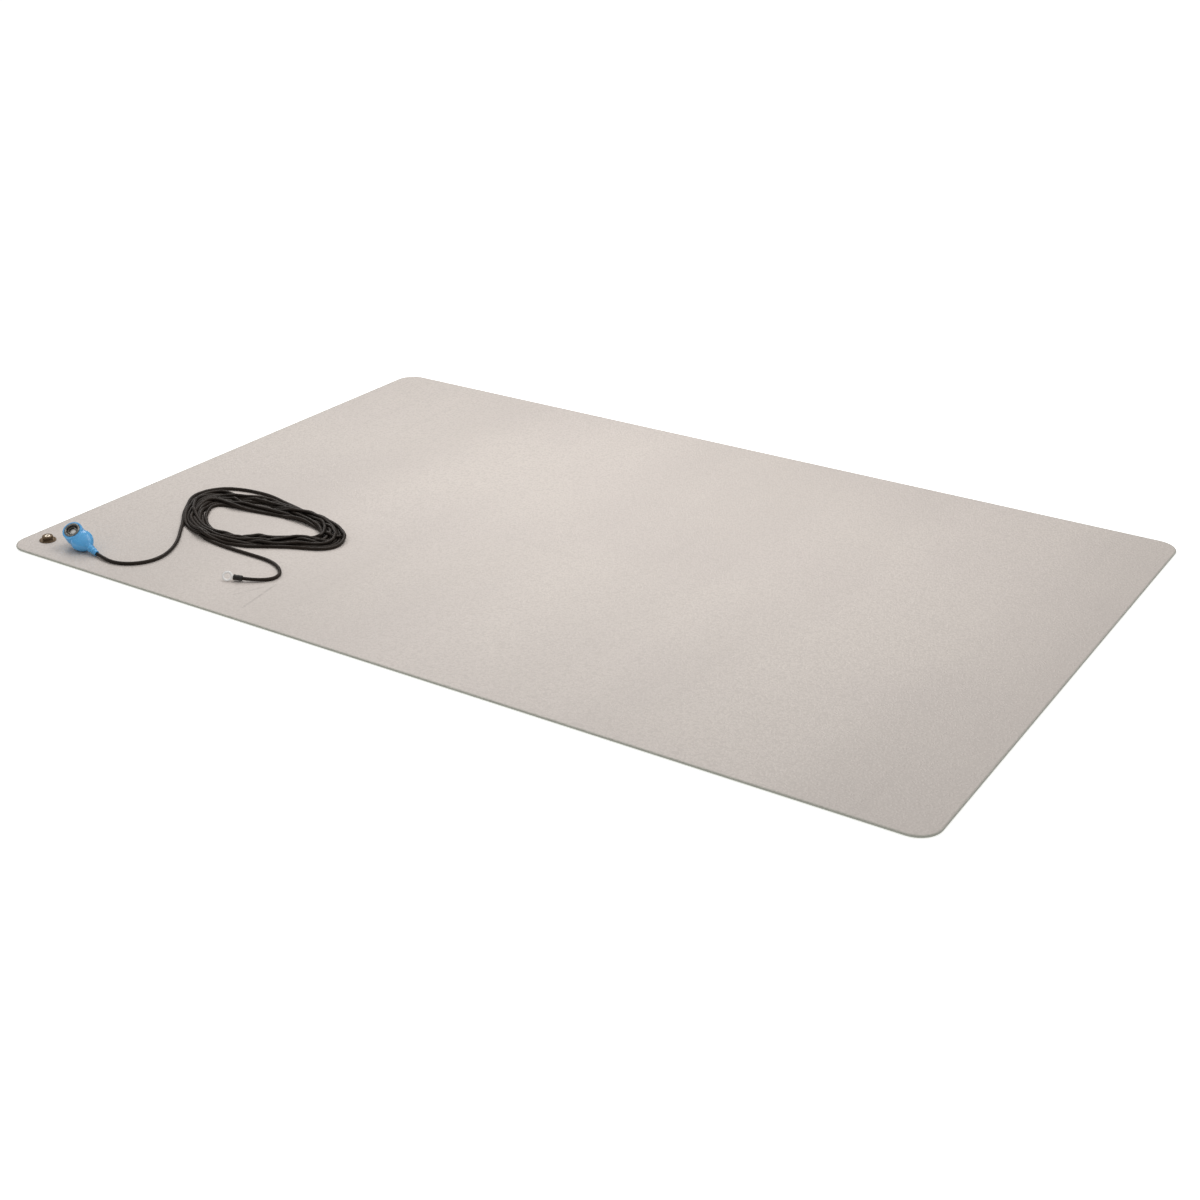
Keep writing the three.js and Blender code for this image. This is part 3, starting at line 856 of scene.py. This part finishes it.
class BENCHMAT_OT_stage(bpy.types.Operator):
    """Set up the camera, the soft lights and the pale floor"""
    bl_idname = "bench_mat.stage"
    bl_label = "Stage"

    def execute(self, context):
        settings = context.scene.bench_stage
        camera_data = bpy.data.cameras.new("Camera")
        camera_data.sensor_width = 36.0
        camera_data.lens = CAMERA_LENS
        camera_data.clip_end = 50.0
        camera = bpy.data.objects.new("Camera", camera_data)
        right = Vector(CAMERA_RIGHT).normalized()
        forward = Vector(CAMERA_FORWARD)
        forward = (forward - right * forward.dot(right)).normalized()
        up = right.cross(forward)
        turn = Matrix((right, up, -forward)).transposed().to_4x4()
        camera.matrix_world = Matrix.Translation(CAMERA_PLACE) @ turn
        context.scene.collection.objects.link(camera)
        context.scene.camera = camera

        context.scene.view_settings.view_transform = "Standard"

        material, tree, shader, place = new_material("Pale floor", Roughness=0.85, Specular_IOR_Level=0.1,
                                                     Emission_Color=(1.0, 1.0, 1.0, 1.0),
                                                     Emission_Strength=settings.floor_glow)
        mottle = place_group(tree, "Mottle", Position=place, Patches_per_metre=2.0, Specks_per_metre=60.0)
        tree.links.new(mix_colour(tree, mottle.outputs["Patches"], rgba(settings.floor_colour, 0.995),
                                  rgba(settings.floor_colour)), shader.inputs["Base Color"])
        corners = [(x * FLOOR_HALF, y * FLOOR_HALF, FLOOR_HEIGHT)
                   for x, y in ((-1, -1), (1, -1), (1, 1), (-1, 1))]
        floor = add_object("floor", corners, [(0, 1, 2, 3)], material, smooth=False)

        world = bpy.data.worlds.new("Studio")
        world.use_nodes = True
        sky = world.node_tree
        background = sky.nodes["Background"]
        background.inputs["Color"].default_value = (1.0, 0.995, 0.985, 1.0)
        around = sky.nodes.new("ShaderNodeTexCoord").outputs["Generated"]
        heights = add_node(sky, "ShaderNodeSeparateXYZ", Vector=around)
        strength = ramp(sky, heights.outputs[2], 0.0, 1.0, settings.low_light, settings.room_light,
                        smooth=False)
        seen = sky.nodes.new("ShaderNodeLightPath").outputs["Is Camera Ray"]
        sky.links.new(math_node(sky, "MAXIMUM", strength, seen), background.inputs["Strength"])
        context.scene.world = world
        # Name, place, the point it faces, size, power and colour
        lights = [
            ("Top light", (-0.03, 0.14, 0.66), (-0.03, 0.14, 0.0), 0.55,
             settings.top_light, (1.0, 0.99, 0.975)),
            ("Side light", (-1.6, 1.0, 1.5), (-0.1, 0.0, 0.0), 1.1,
             settings.side_light, (1.0, 0.995, 0.985)),
        ]
        for name, spot, goal, extent, power, colour in lights:
            data = bpy.data.lights.new(name, "AREA")
            data.shape = "DISK"
            data.size = extent
            data.energy = power
            data.color = colour
            lamp = bpy.data.objects.new(name, data)
            lamp.location = spot
            lamp.rotation_euler = (Vector(goal) - Vector(spot)).to_track_quat("-Z", "Y").to_euler()
            context.scene.collection.objects.link(lamp)
        return {"FINISHED"}


# The sheet

def rounded_loop(inset, sheet_radius):
    """One closed loop of the sheet's outline, moved in by a distance, always with as many points."""
    half_x, half_y = MAT_HIGH[0] - inset, MAT_HIGH[1] - inset
    radius = max(0.0004, sheet_radius - inset)
    radius = min(radius, half_y * 0.999)
    corner_steps, long_steps, short_steps = 10, 112, 76
    points = []
    corners = [(half_x - radius, half_y - radius, 0), (-half_x + radius, half_y - radius, 90),
               (-half_x + radius, -half_y + radius, 180), (half_x - radius, -half_y + radius, 270)]
    for index, (x, y, start) in enumerate(corners):
        for step in range(corner_steps + 1):
            angle = math.radians(start + 90 * step / corner_steps)
            points.append((x + radius * math.cos(angle), y + radius * math.sin(angle)))
        after_x, after_y, after_start = corners[(index + 1) % 4]
        end = math.radians(after_start)
        goal = (after_x + radius * math.cos(end), after_y + radius * math.sin(end))
        steps = long_steps if index % 2 == 0 else short_steps
        begin = points[-1]
        for step in range(1, steps):
            part = step / steps
            points.append((begin[0] + (goal[0] - begin[0]) * part, begin[1] + (goal[1] - begin[1]) * part))
    return points


def smooth_step(value):
    value = min(1.0, max(0.0, value))
    return value * value * (3 - 2 * value)


def wave(x, y):
    """How far the sheet dips, from 0 to 1: none at its rim and where something lies on it."""
    along, beside = x / (MAT_HIGH[0] * 2), y / (MAT_HIGH[0] * 2)
    rolls = (math.sin(2 * math.pi * (2.6 * along + 0.18 * beside) + 0.6)
             + 0.6 * math.sin(2 * math.pi * (5.1 * along - 0.3 * beside) + 2.1)
             + 0.35 * math.sin(2 * math.pi * (1.7 * beside + 0.8 * along)))
    rim = min(MAT_HIGH[0] - abs(x), MAT_HIGH[1] - abs(y))
    away = math.hypot((x + 0.32) / 0.19, (y + 0.19) / 0.16) - 1.0
    return (0.5 - rolls / 3.9) * smooth_step((rim - 0.004) / 0.05) * smooth_step(away / 0.5)


# Painted shadow lines on the sheet, running from the bend of the cord's tail towards the near edge: both ends
# in mm, half width in mm, and how dark
PAINTED_SHADOW_LINES = [
    (((-190.6, -226.5), (-181.7, -286.1)), 1.7, 0.55),
    (((-193.7, -236.1), (-208.5, -270.4)), 1.3, 0.4),
]


def sheet_material(settings):
    material, tree, shader, place = new_material(
        "Pebbled rubber sheet", Roughness=0.55, Specular_IOR_Level=0.42)
    grain = place_group(tree, "Pebble grain", Position=place, Cells_per_metre=1 / settings.grain_size,
                        Unevenness=0.9)
    mottle = place_group(tree, "Mottle", Position=place, Patches_per_metre=5.0, Specks_per_metre=170.0)
    scratches = place_group(tree, "Fine scratches", Position=place, Scratches_per_metre=45.0)
    # Broad soft bands across the sheet: painted light and shade standing for the slight waves of a rolled
    # sheet
    bands = add_node(tree, "ShaderNodeTexNoise", Vector=add_node(
        tree, "ShaderNodeMapping", Vector=place, Rotation=(0, 0, -0.12), Scale=(5.2, 0.7, 1.0)).outputs[0],
        Scale=1.0, Detail=1.5)
    painted_wave_shade = ramp(tree, bands.outputs["Fac"], 0.36, 0.64)
    light, dark = rgba(settings.colour, 1.035), rgba(settings.colour, 0.955)
    colour = mix_colour(tree, painted_wave_shade, dark, light)
    patch = mix_colour(tree, mottle.outputs["Patches"], (0.985, 0.98, 0.985, 1), (1.015, 1.015, 1.01, 1))
    colour = mix_colour(tree, 1.0, colour, patch, "MULTIPLY")
    # Painted shade in the creases between the pebbles
    crease_shade = math_node(tree, "MULTIPLY", grain.outputs["Creases"], 0.55)
    colour = mix_colour(tree, crease_shade, colour, rgba(settings.colour, 0.84))
    speck = math_node(tree, "MULTIPLY", mottle.outputs["Specks"], 0.3)
    colour = mix_colour(tree, speck, colour, rgba(settings.colour, 0.95))
    mark = math_node(tree, "MULTIPLY", scratches.outputs["Scratches"], 0.10)
    colour = mix_colour(tree, mark, colour, rgba(settings.colour, 0.8))
    # Painted shadow of the cord's tail, as soft dark lines in the sheet's colour
    for ends, width, strength in PAINTED_SHADOW_LINES:
        (x0, y0), (x1, y1) = ends
        shadow_line = place_group(tree, "Painted shadow line", Position=place,
                            Middle=((x0 + x1) / 2 * MM, (y0 + y1) / 2 * MM, 0.0),
                            Turn=(0.0, 0.0, -math.atan2(y1 - y0, x1 - x0)),
                            Half_length=math.hypot(x1 - x0, y1 - y0) / 2 * MM, Half_width=width * MM)
        shadow_amount = math_node(tree, "MULTIPLY", shadow_line.outputs["Painted shadow"], strength)
        colour = mix_colour(tree, shadow_amount, colour, rgba(settings.colour, 0.62))

    # The cut side is darker and grey green, and the underside is a little darker than the top
    normal = tree.nodes.new("ShaderNodeNewGeometry")
    facing = tree.nodes.new("ShaderNodeSeparateXYZ")
    tree.links.new(normal.outputs["Normal"], facing.inputs[0])
    edge = place_group(tree, "Near the edge", Position=place, Half_size=(MAT_HIGH[0], MAT_HIGH[1], 0.0),
                       Corner_radius=settings.corner_radius, Width=0.0016)
    # The cut side's darker grey green colour, carried onto the top in a narrow band along the rim
    rim_band = math_node(tree, "MULTIPLY", edge.outputs["Edge"], 0.5)
    colour = mix_colour(tree, rim_band, colour, rgba(settings.side_colour, 1.15))
    side = ramp(tree, facing.outputs[2], 0.93, 0.35)
    colour = mix_colour(tree, side, colour, rgba(settings.side_colour))
    tree.links.new(colour, shader.inputs["Base Color"])
    rough = math_node(tree, "MULTIPLY_ADD", grain.outputs["Creases"], 0.12, 0.5)
    rough = math_node(tree, "MULTIPLY_ADD", mottle.outputs["Patches"], 0.06, rough)
    tree.links.new(rough, shader.inputs["Roughness"])
    flat_part = math_node(tree, "MULTIPLY_ADD", side, -0.85, 1.0)
    height = math_node(tree, "MULTIPLY", grain.outputs["Height"], flat_part)
    bump(tree, shader, height, settings.grain_depth, 0.85)
    return material


class BENCHMAT_OT_sheet(bpy.types.Operator):
    """Build the mat's sheet"""
    bl_idname = "bench_mat.sheet"
    bl_label = "Mat sheet"

    def execute(self, context):
        settings = context.scene.bench_sheet
        rim = settings.rim_radius
        rings = [(0.004, 0.0)]
        for angle in np.radians((90, 60, 30, 0)):
            rings.append((rim - rim * math.cos(angle), rim - rim * math.sin(angle)))
        for angle in np.radians((0, 22, 45, 68, 90)):
            rings.append((rim - rim * math.cos(angle), MAT_TOP - rim + rim * math.sin(angle)))
        insets = [0.0016, 0.003, 0.006, 0.011, 0.018]
        inset = 0.026
        while inset < MAT_HIGH[1] - 0.004:
            insets.append(inset)
            inset += 0.0085
        rings.extend((inset, None) for inset in insets)
        vertices = []
        for inset, height in rings:
            for x, y in rounded_loop(inset, settings.corner_radius):
                top = MAT_TOP - settings.wave_depth * wave(x, y)
                vertices.append((x, y, top if height is None else height))
        faces = skin(len(rings), len(vertices) // len(rings))
        sheet = closed_object("bench_sheet", vertices, faces, sheet_material(settings))
        sheet.data.shade_smooth()
        self.cut_seat(sheet)
        dress(sheet, "mat", "mat")
        return {"FINISHED"}

    @staticmethod
    def cut_seat(sheet):
        """The flat seat of the rivet's flange in the underside."""
        depth, radius, below = 0.0005, 0.0063, -0.002
        vertices, faces = turned([(0, below), (radius, below), (radius, depth), (0, depth)], 64)
        vertices[:, 0] += STUD_CENTRE[0]
        vertices[:, 1] += STUD_CENTRE[1]
        cut_away(sheet, "Seat", vertices, faces)


# The press stud and its rivet

def metal_material(name, colour, dull, bright, roughness, tarnish=0.5, metallic=1.0):
    """Pressed metal: tarnish and painted shade in its hollows, rubbed edges, fine scratches."""
    material, tree, shader, place = new_material(name, Metallic=metallic)
    mottle = place_group(tree, "Mottle", Position=place, Patches_per_metre=420.0, Specks_per_metre=2600.0)
    rubbed = place_group(tree, "Edges and hollows", Position=place, Breakup_per_metre=1500.0)
    scratches = place_group(tree, "Fine scratches", Position=place, Scratches_per_metre=1800.0)
    stain = math_node(tree, "MULTIPLY", mottle.outputs["Patches"], tarnish)
    base = mix_colour(tree, stain, rgba(colour), rgba(dull))
    # Tarnish and painted shade darken the hollows
    base = mix_colour(tree, rubbed.outputs["Hollows"], base, rgba(dull, 0.55))
    edge = math_node(tree, "MULTIPLY", rubbed.outputs["Edges"], 0.8)
    base = mix_colour(tree, edge, base, rgba(bright))
    tree.links.new(base, shader.inputs["Base Color"])
    fine_wear(tree, shader, mottle, scratches, 0.16, roughness - 0.05, -0.08, -0.6)
    return material


class BENCHMAT_OT_stud(bpy.types.Operator):
    """Build the press stud and the rivet that holds it"""
    bl_idname = "bench_mat.stud"
    bl_label = "Press stud and rivet"

    def execute(self, context):
        settings = context.scene.bench_stud
        flange, head, height = settings.flange_radius, settings.head_radius, settings.height
        dish, dish_depth, bore, rim, foot = 0.0031, 0.0011, 0.0017, 0.0005, 0.00005
        web, fillet, shoulder, lip = 0.0006, 0.0004, 0.0009, 0.00035
        neck = head - 0.0004
        profile = [(bore, foot), (flange - 0.0002, foot)]
        profile += arc(flange - rim, rim, rim, -50, 100, 8)
        profile += [(flange - 0.0013, 0.00072), (flange - 0.0019, web), (neck + 0.0005, web)]
        profile += arc(neck + fillet, web + fillet, fillet, 270, 180, 4)
        profile += [(neck, height - 0.0026), (neck + 0.0001, height - 0.0023)]
        profile += arc(head - shoulder, height - 0.0013, shoulder, -50, 0, 4)
        profile += arc(head - shoulder, height - shoulder, shoulder, 0, 90, 6)
        profile += arc(dish + lip, height - lip, lip, 90, 180, 4)
        profile += [(dish - 0.0001, height - dish_depth), (bore, height - dish_depth)]
        vertices, faces = turned(profile, 72, closed=True)
        vertices += np.array([STUD_CENTRE[0], STUD_CENTRE[1], MAT_TOP])
        material = metal_material(
            "Tarnished stud", settings.colour, (0.1, 0.07, 0.045), (0.3, 0.23, 0.15), 0.55, 0.6)
        stud = closed_object("press_stud", vertices, faces, material)
        dress(stud, "stud", "snap_stud")

        seat = MAT_TOP + height - dish_depth
        shank, cap, roll = 0.0016, 0.0028, 0.0005
        base, base_radius, base_edge = 0.00002, 0.0056, 0.00023
        profile = [(0, base), (base_radius, base)]
        profile += arc(0.0057, 0.00027, base_edge, -90, 90, 6)
        profile += [(shank, 0.0005), (shank, seat), (cap - 0.0003, seat)]
        profile += arc(cap - roll, seat + roll, roll, -60, 90, 8)
        profile += arc(0.0013, seat + 0.0006, 0.0004, 90, 180, 5)
        profile += [(0.0007, seat + 0.0003), (0, seat + 0.00022)]
        vertices, faces = turned(profile, 56)
        vertices += np.array([STUD_CENTRE[0], STUD_CENTRE[1], 0])
        material = metal_material(
            "Rubbed rivet", settings.rivet_colour, (0.34, 0.28, 0.2), (0.85, 0.78, 0.68), 0.3, 0.3)
        rivet = closed_object("rivet", vertices, faces, material)
        dress(rivet, "rivet", "stud_rivet")
        return {"FINISHED"}


# The snap at the cord's near end

HOUSING_LENGTH = 0.0336
HOUSING_AXIS_DEPTH = 0.0075
HOUSING_ROLL = math.radians(30)
HOUSING_YAW = math.radians(-9.7)
RELIEF_END = 0.0026
RELIEF_START = 0.005
RELIEF_LENGTH = 0.02
GRIP_START = 0.0002
GRIP_LENGTH = 0.024
HEAD_EDGE = 0.004
# The relief's grooves: how many, their depth, and the stretch of the relief that has them
GROOVES, GROOVE_DEPTH, GROOVE_START, GROOVE_SPAN = 5, 0.0006, 0.42, 0.5
RELIEF_STEPS = 60
GRIP_STEPS = 36
HOUSING_VOXEL = 0.00028
POCKET_DEPTH = 0.0043
POCKET_GAP = 0.00012


def housing_matrix(settings):
    """The housing lies on its relief's end and on its head or grip; its origin is the cord's exit."""
    head_reach = ((settings.head_radius - HEAD_EDGE) * math.sin(HOUSING_ROLL)
                  + (settings.head_depth - HEAD_EDGE - HOUSING_AXIS_DEPTH) * math.cos(HOUSING_ROLL)
                  + HEAD_EDGE)
    grip_reach = math.hypot(settings.grip_width / 2 * math.sin(HOUSING_ROLL),
                            settings.grip_thickness / 2 * math.cos(HOUSING_ROLL))
    grip_distance = HOUSING_LENGTH - GRIP_START - GRIP_LENGTH / 2
    tilt = max(math.asin((head_reach - RELIEF_END) / HOUSING_LENGTH),
               math.asin((grip_reach - RELIEF_END) / grip_distance))
    exit_x, exit_y, _ = LEAD_ROUTE[0]
    place = Matrix.Translation((exit_x * MM, exit_y * MM, MAT_TOP + LIE_GAP + RELIEF_END))
    turn = Matrix.Rotation(HOUSING_YAW, 4, "Z") @ Matrix.Rotation(tilt, 4, "Y")
    return place @ turn @ Matrix.Rotation(HOUSING_ROLL, 4, "X")


def housing_material(settings):
    material, tree, shader, place = new_material(
        "Sky blue moulding", Roughness=0.28, Specular_IOR_Level=0.5, IOR=1.5, Subsurface_Weight=0.06,
        Subsurface_Radius=(0.0006, 0.0009, 0.0015))
    mottle = place_group(tree, "Mottle", Position=place, Patches_per_metre=90.0, Specks_per_metre=2200.0)
    rubbed = place_group(tree, "Edges and hollows", Position=place, Breakup_per_metre=1100.0)
    scratches = place_group(tree, "Fine scratches", Position=place, Scratches_per_metre=900.0)
    base = mix_colour(tree, mottle.outputs["Patches"],
                      rgba(settings.colour, 0.94), rgba(settings.colour, 1.07))
    # Painted shade darkens the moulding's hollows, and a painted highlight lightens its edges
    hollow_shade = math_node(tree, "MULTIPLY", rubbed.outputs["Hollows"], 0.5)
    base = mix_colour(tree, hollow_shade, base, rgba(settings.colour, 0.45))
    edge = math_node(tree, "MULTIPLY", rubbed.outputs["Edges"], 0.3)
    base = mix_colour(tree, edge, base, (0.3, 0.56, 0.86, 1))
    tree.links.new(base, shader.inputs["Base Color"])
    fine_wear(tree, shader, mottle, scratches, 0.1, 0.22, 0.14, -0.5)
    return material


class BENCHMAT_OT_snap(bpy.types.Operator):
    """Build the snap housing, its relief and its metal socket"""
    bl_idname = "bench_mat.snap"
    bl_label = "Snap housing and socket"

    def execute(self, context):
        settings = context.scene.bench_housing
        matrix = housing_matrix(settings)
        self.housing(settings, matrix)
        self.socket(settings, matrix)
        return {"FINISHED"}

    @staticmethod
    def housing(settings, matrix):
        radius, depth = settings.head_radius, settings.head_depth
        profile = [(0, -depth)]
        profile += arc(radius - HEAD_EDGE, HEAD_EDGE - depth, HEAD_EDGE, -90, 0, 10)
        profile += arc(radius - 0.0008, -0.0008, 0.0008, 0, 90, 5)
        profile += [(0, 0)]
        head, head_faces = turned(profile, 96)
        head = head + np.array([-HOUSING_LENGTH, 0, HOUSING_AXIS_DEPTH])

        profile = [(0, 0)]
        for step in range(1, GRIP_STEPS):
            along = step / GRIP_STEPS
            swell = math.sin(math.pi * along ** 0.8) ** 0.6
            profile.append((settings.grip_width / 2 * swell, GRIP_LENGTH * along))
        profile.append((0, GRIP_LENGTH))
        grip, grip_faces = turned(profile, 96)
        grip[:, 0] *= settings.grip_thickness / settings.grip_width
        grip = lengthwise(grip, -HOUSING_LENGTH + GRIP_START)

        # The relief tapers to the cord in steps, with grooves that let it bend
        profile = [(0, -RELIEF_LENGTH), (RELIEF_START, -RELIEF_LENGTH)]
        for step in range(RELIEF_STEPS + 1):
            along = step / RELIEF_STEPS
            size = RELIEF_START + (RELIEF_END - RELIEF_START) * along ** 0.8
            ring = math.sin(math.pi * (along - GROOVE_START) / GROOVE_SPAN * GROOVES)
            grooved = GROOVE_START < along < GROOVE_START + GROOVE_SPAN
            cut = GROOVE_DEPTH * max(0.0, ring) ** 0.5 if grooved else 0.0
            profile.append((size - cut, -RELIEF_LENGTH * (1 - along)))
        profile.append((0, 0))
        relief, relief_faces = turned(profile, 72)
        relief = lengthwise(relief)

        vertices, faces = join_meshes([(head, head_faces), (grip, grip_faces), (relief, relief_faces)])
        housing = closed_object("snap_housing", vertices, faces, housing_material(settings))
        remesh = housing.modifiers.new("Remesh", "REMESH")
        remesh.mode = "VOXEL"
        remesh.voxel_size = HOUSING_VOXEL
        remesh.use_smooth_shade = True
        relax = housing.modifiers.new("Relax", "SMOOTH")
        relax.factor = 0.6
        relax.iterations = 7
        apply_modifiers(housing)

        pocket_floor = HOUSING_AXIS_DEPTH - POCKET_DEPTH
        pocket_radius = settings.socket_radius + POCKET_GAP
        vertices, faces = turned([(0, pocket_floor), (pocket_radius, pocket_floor), (pocket_radius, 0.02),
                                  (0, 0.02)], 128)
        vertices[:, 0] -= HOUSING_LENGTH
        cut_away(housing, "Pocket", vertices, faces)
        housing.data.shade_smooth()
        move_mesh(housing, matrix)
        dress(housing, "housing", "cord_snap_housing")

    @staticmethod
    def socket(settings, matrix):
        radius = settings.socket_radius
        bore, floor, floor_radius, base, corner = 0.0051, -0.0032, 0.0034, -0.004, 0.0005
        rim = (radius - bore) / 2
        profile = [(0, base), (radius - 0.0006, base)]
        profile += arc(radius - corner, -0.0035, corner, -90, 0, 5)
        profile += arc(bore + rim, 0.0, rim, 0, 180, 16)
        profile += [(bore + 0.0001, -0.0008), (bore + 0.0004, -0.0013), (bore + 0.0004, -0.0021),
                    (bore + 0.0001, -0.0026), (bore, floor + 0.0002)]
        profile += [(bore - 0.0002, floor), (floor_radius, floor), (0.0029, floor + 0.0005),
                    (0.0022, floor + 0.0009), (0.0012, floor + 0.0011), (0, floor + 0.0011)]
        parts = [turned(profile, 96)]

        # The spring that grips the stud: two bowed wires across the bore's sides
        for side in (-1, 1):
            line = []
            for step in range(17):
                part = step / 16 * 2 - 1
                line.append((part * 0.0036, side * (0.0044 - 0.0012 * (1 - part * part)), -0.0016))
            parts.append(tube(line, 0.0003, 10))
        vertices, faces = join_meshes(parts)
        material = metal_material(
            "Socket metal", settings.socket_colour, (0.07, 0.07, 0.07), (0.6, 0.6, 0.58), 0.3, 0.5)
        socket = closed_object("snap_socket", vertices, faces, material)
        # The socket's floor is light metal, and its light colour also paints the glint at the socket's centre
        glint_floor_metal = metal_material("Socket floor with painted glint", (0.8, 0.79, 0.76), (0.5, 0.49, 0.46), (0.9, 0.89, 0.87),
                                     0.34, 0.3, metallic=0.6)
        socket.data.materials.append(glint_floor_metal)
        for face in socket.data.polygons:
            x, y, z = face.center
            face.material_index = 1 if math.hypot(x, y) < floor_radius and z > -0.0039 else 0
        place = Matrix.Translation((-HOUSING_LENGTH, 0, HOUSING_AXIS_DEPTH))
        move_mesh(socket, matrix @ place)
        dress(socket, "socket", "cord_snap_socket")


# The ring terminal and its sleeve

# From the cord's end to the ring's centre, in mm
RING_REACH = 10.3
BARREL_RADIUS = 0.0019
LUG_SIDES = 32


def lug_section(x, half_y, half_z, power):
    """One section across the lug, from a rounded box at a high power to an ellipse at 2."""
    loop = []
    for side in range(LUG_SIDES):
        angle = 2 * math.pi * side / LUG_SIDES
        c, s = math.cos(angle), math.sin(angle)
        loop.append((x, half_y * math.copysign(abs(c) ** (2 / power), c),
                     half_z * math.copysign(abs(s) ** (2 / power), s)))
    return loop


def terminal_matrix(settings):
    """The ring's centre, its barrel along X towards the cord; it stands on its edge on the mat."""
    level = MAT_TOP / MM + LIE_GAP / MM + CORD_RADIUS_MM
    ends = (TAIL_ROUTE[-1], TAIL_ROUTE[-2])
    last, before = (np.array([x, y, level + rise]) for x, y, rise in ends)
    along = (last - before) / np.linalg.norm(last - before)
    centre = (last + along * RING_REACH) * MM
    edge_reach = centre[2] - MAT_TOP - LIE_GAP - settings.thickness / 2
    roll = math.asin(min(1.0, edge_reach / settings.ring_radius))
    yaw, tilt = math.atan2(-along[1], -along[0]), math.asin(along[2])
    turn = Matrix.Rotation(yaw, 4, "Z") @ Matrix.Rotation(tilt, 4, "Y") @ Matrix.Rotation(roll, 4, "X")
    return Matrix.Translation(centre) @ turn


class BENCHMAT_OT_terminal(bpy.types.Operator):
    """Build the ring terminal and its sleeve"""
    bl_idname = "bench_mat.terminal"
    bl_label = "Ring terminal"

    def execute(self, context):
        settings = context.scene.bench_terminal
        matrix = terminal_matrix(settings)
        self.ring(settings, matrix)
        self.sleeve(settings, matrix)
        return {"FINISHED"}

    @staticmethod
    def ring(settings, matrix):
        ring, hole, half = settings.ring_radius, settings.hole_radius, settings.thickness / 2
        soft = 0.00012
        profile = [(hole, -half + soft), (hole + soft, -half), (ring - soft, -half), (ring, -half + soft),
                   (ring, half - soft), (ring - soft, half), (hole + soft, half), (hole, half - soft)]
        plate = turned(profile, 80, closed=True)

        # The tongue rises from the flat ring into the round barrel
        sections = []
        for step in range(13):
            part = step / 12
            blend = part * part * (3 - 2 * part)
            sections.append(lug_section(
                0.0038 + 0.0022 * part, 0.0024 * (1 - blend) + BARREL_RADIUS * blend,
                half * (1 - blend) + BARREL_RADIUS * blend, 5 * (1 - blend) + 2 * blend))
        sections += [lug_section(x, BARREL_RADIUS, BARREL_RADIUS, 2) for x in (0.0068, 0.0086, 0.0099)]
        vertices = [point for loop in sections for point in loop]
        joined, joined_faces = join_meshes([plate, (vertices, skin(len(sections), LUG_SIDES))])
        # Painted highlight: the near white colours hold the tinned metal's glint as well as its own light
        # colour, on a barely metallic surface
        material = metal_material("Tinned terminal with painted glint", settings.colour, (0.84, 0.82, 0.8), (0.98, 0.97, 0.96),
                                  0.3, 0.25, metallic=0.2)
        terminal = closed_object("ring_lug", joined, joined_faces, material)
        move_mesh(terminal, matrix)
        dress(terminal, "terminal", "ring_terminal")

    @staticmethod
    def sleeve(settings, matrix):
        inner, outer, start, end = 0.00195, 0.0026, 0.0056, 0.0136
        lip, edge, taper, crimp_depth = 0.00033, 0.0004, 0.0002, 0.00022
        profile = [(inner, start + 0.0002)]
        profile += arc(inner + lip, start + lip, lip, 200, 270, 4)
        profile += arc(outer - edge, start + edge, edge, -90, 0, 4)
        for step in range(1, 12):
            along = step / 12
            crimp = crimp_depth * math.exp(-((along - 0.34) / 0.1) ** 2)
            profile.append((outer - taper * along - crimp, start + (end - start) * along))
        profile += arc(outer - 0.0007, end - edge, edge, 0, 90, 4)
        profile += [(0.00172, end - 0.0001), (0.00168, end - 0.0006)]
        vertices, faces = turned(profile, 48, closed=True)
        vertices = lengthwise(vertices)
        material, tree, shader, place = new_material("Black sleeve", Roughness=0.5, Specular_IOR_Level=0.4)
        mottle = place_group(tree, "Mottle", Position=place, Patches_per_metre=200.0, Specks_per_metre=2400.0)
        tree.links.new(mix_colour(tree, mottle.outputs["Patches"], rgba(settings.sleeve_colour, 0.8),
                                  rgba(settings.sleeve_colour, 1.5)), shader.inputs["Base Color"])
        tree.links.new(ramp(tree, mottle.outputs["Specks"], 0.0, 1.0, 0.42, 0.58), shader.inputs["Roughness"])
        bump(tree, shader, mottle.outputs["Specks"], 0.00003, 0.6)
        sleeve = closed_object("lug_sleeve", vertices, faces, material)
        move_mesh(sleeve, matrix)
        dress(sleeve, "sleeve", "terminal_sleeve")


# The panel and the run

class BENCHMAT_OT_declare(bpy.types.Operator):
    """Does nothing but finish; the cord's length and pieces are not stated here"""
    bl_idname = "bench_mat.declare"
    bl_label = "Declare the cord"

    def execute(self, context):
        return {"FINISHED"}


STEPS = [
    BENCHMAT_OT_stage,
    BENCHMAT_OT_cord,
    BENCHMAT_OT_sheet,
    BENCHMAT_OT_stud,
    BENCHMAT_OT_snap,
    BENCHMAT_OT_terminal,
    BENCHMAT_OT_declare,
]


class BENCHMAT_PT_panel(bpy.types.Panel):
    """Sizes, colours and pieces of the bench mat"""
    bl_idname = "BENCHMAT_PT_panel"
    bl_label = "Bench mat"
    bl_space_type = "VIEW_3D"
    bl_region_type = "UI"
    bl_category = "Bench mat"

    def draw(self, context):
        layout = self.layout
        for name, group in SETTINGS.items():
            box = layout.box()
            for key in group.__annotations__:
                box.prop(getattr(context.scene, name), key)
        for step in STEPS:
            layout.operator(step.bl_idname)


CLASSES = list(SETTINGS.values()) + STEPS + [BENCHMAT_PT_panel]


def register():
    for each in CLASSES:
        bpy.utils.register_class(each)
    for name, group in SETTINGS.items():
        setattr(bpy.types.Scene, name, PointerProperty(type=group))


def unregister():
    for name in SETTINGS:
        delattr(bpy.types.Scene, name)
    for each in reversed(CLASSES):
        bpy.utils.unregister_class(each)


def main():
    register()
    for step in STEPS:
        module, name = step.bl_idname.split(".")
        getattr(getattr(bpy.ops, module), name)()


if __name__ == "__main__":
    main()
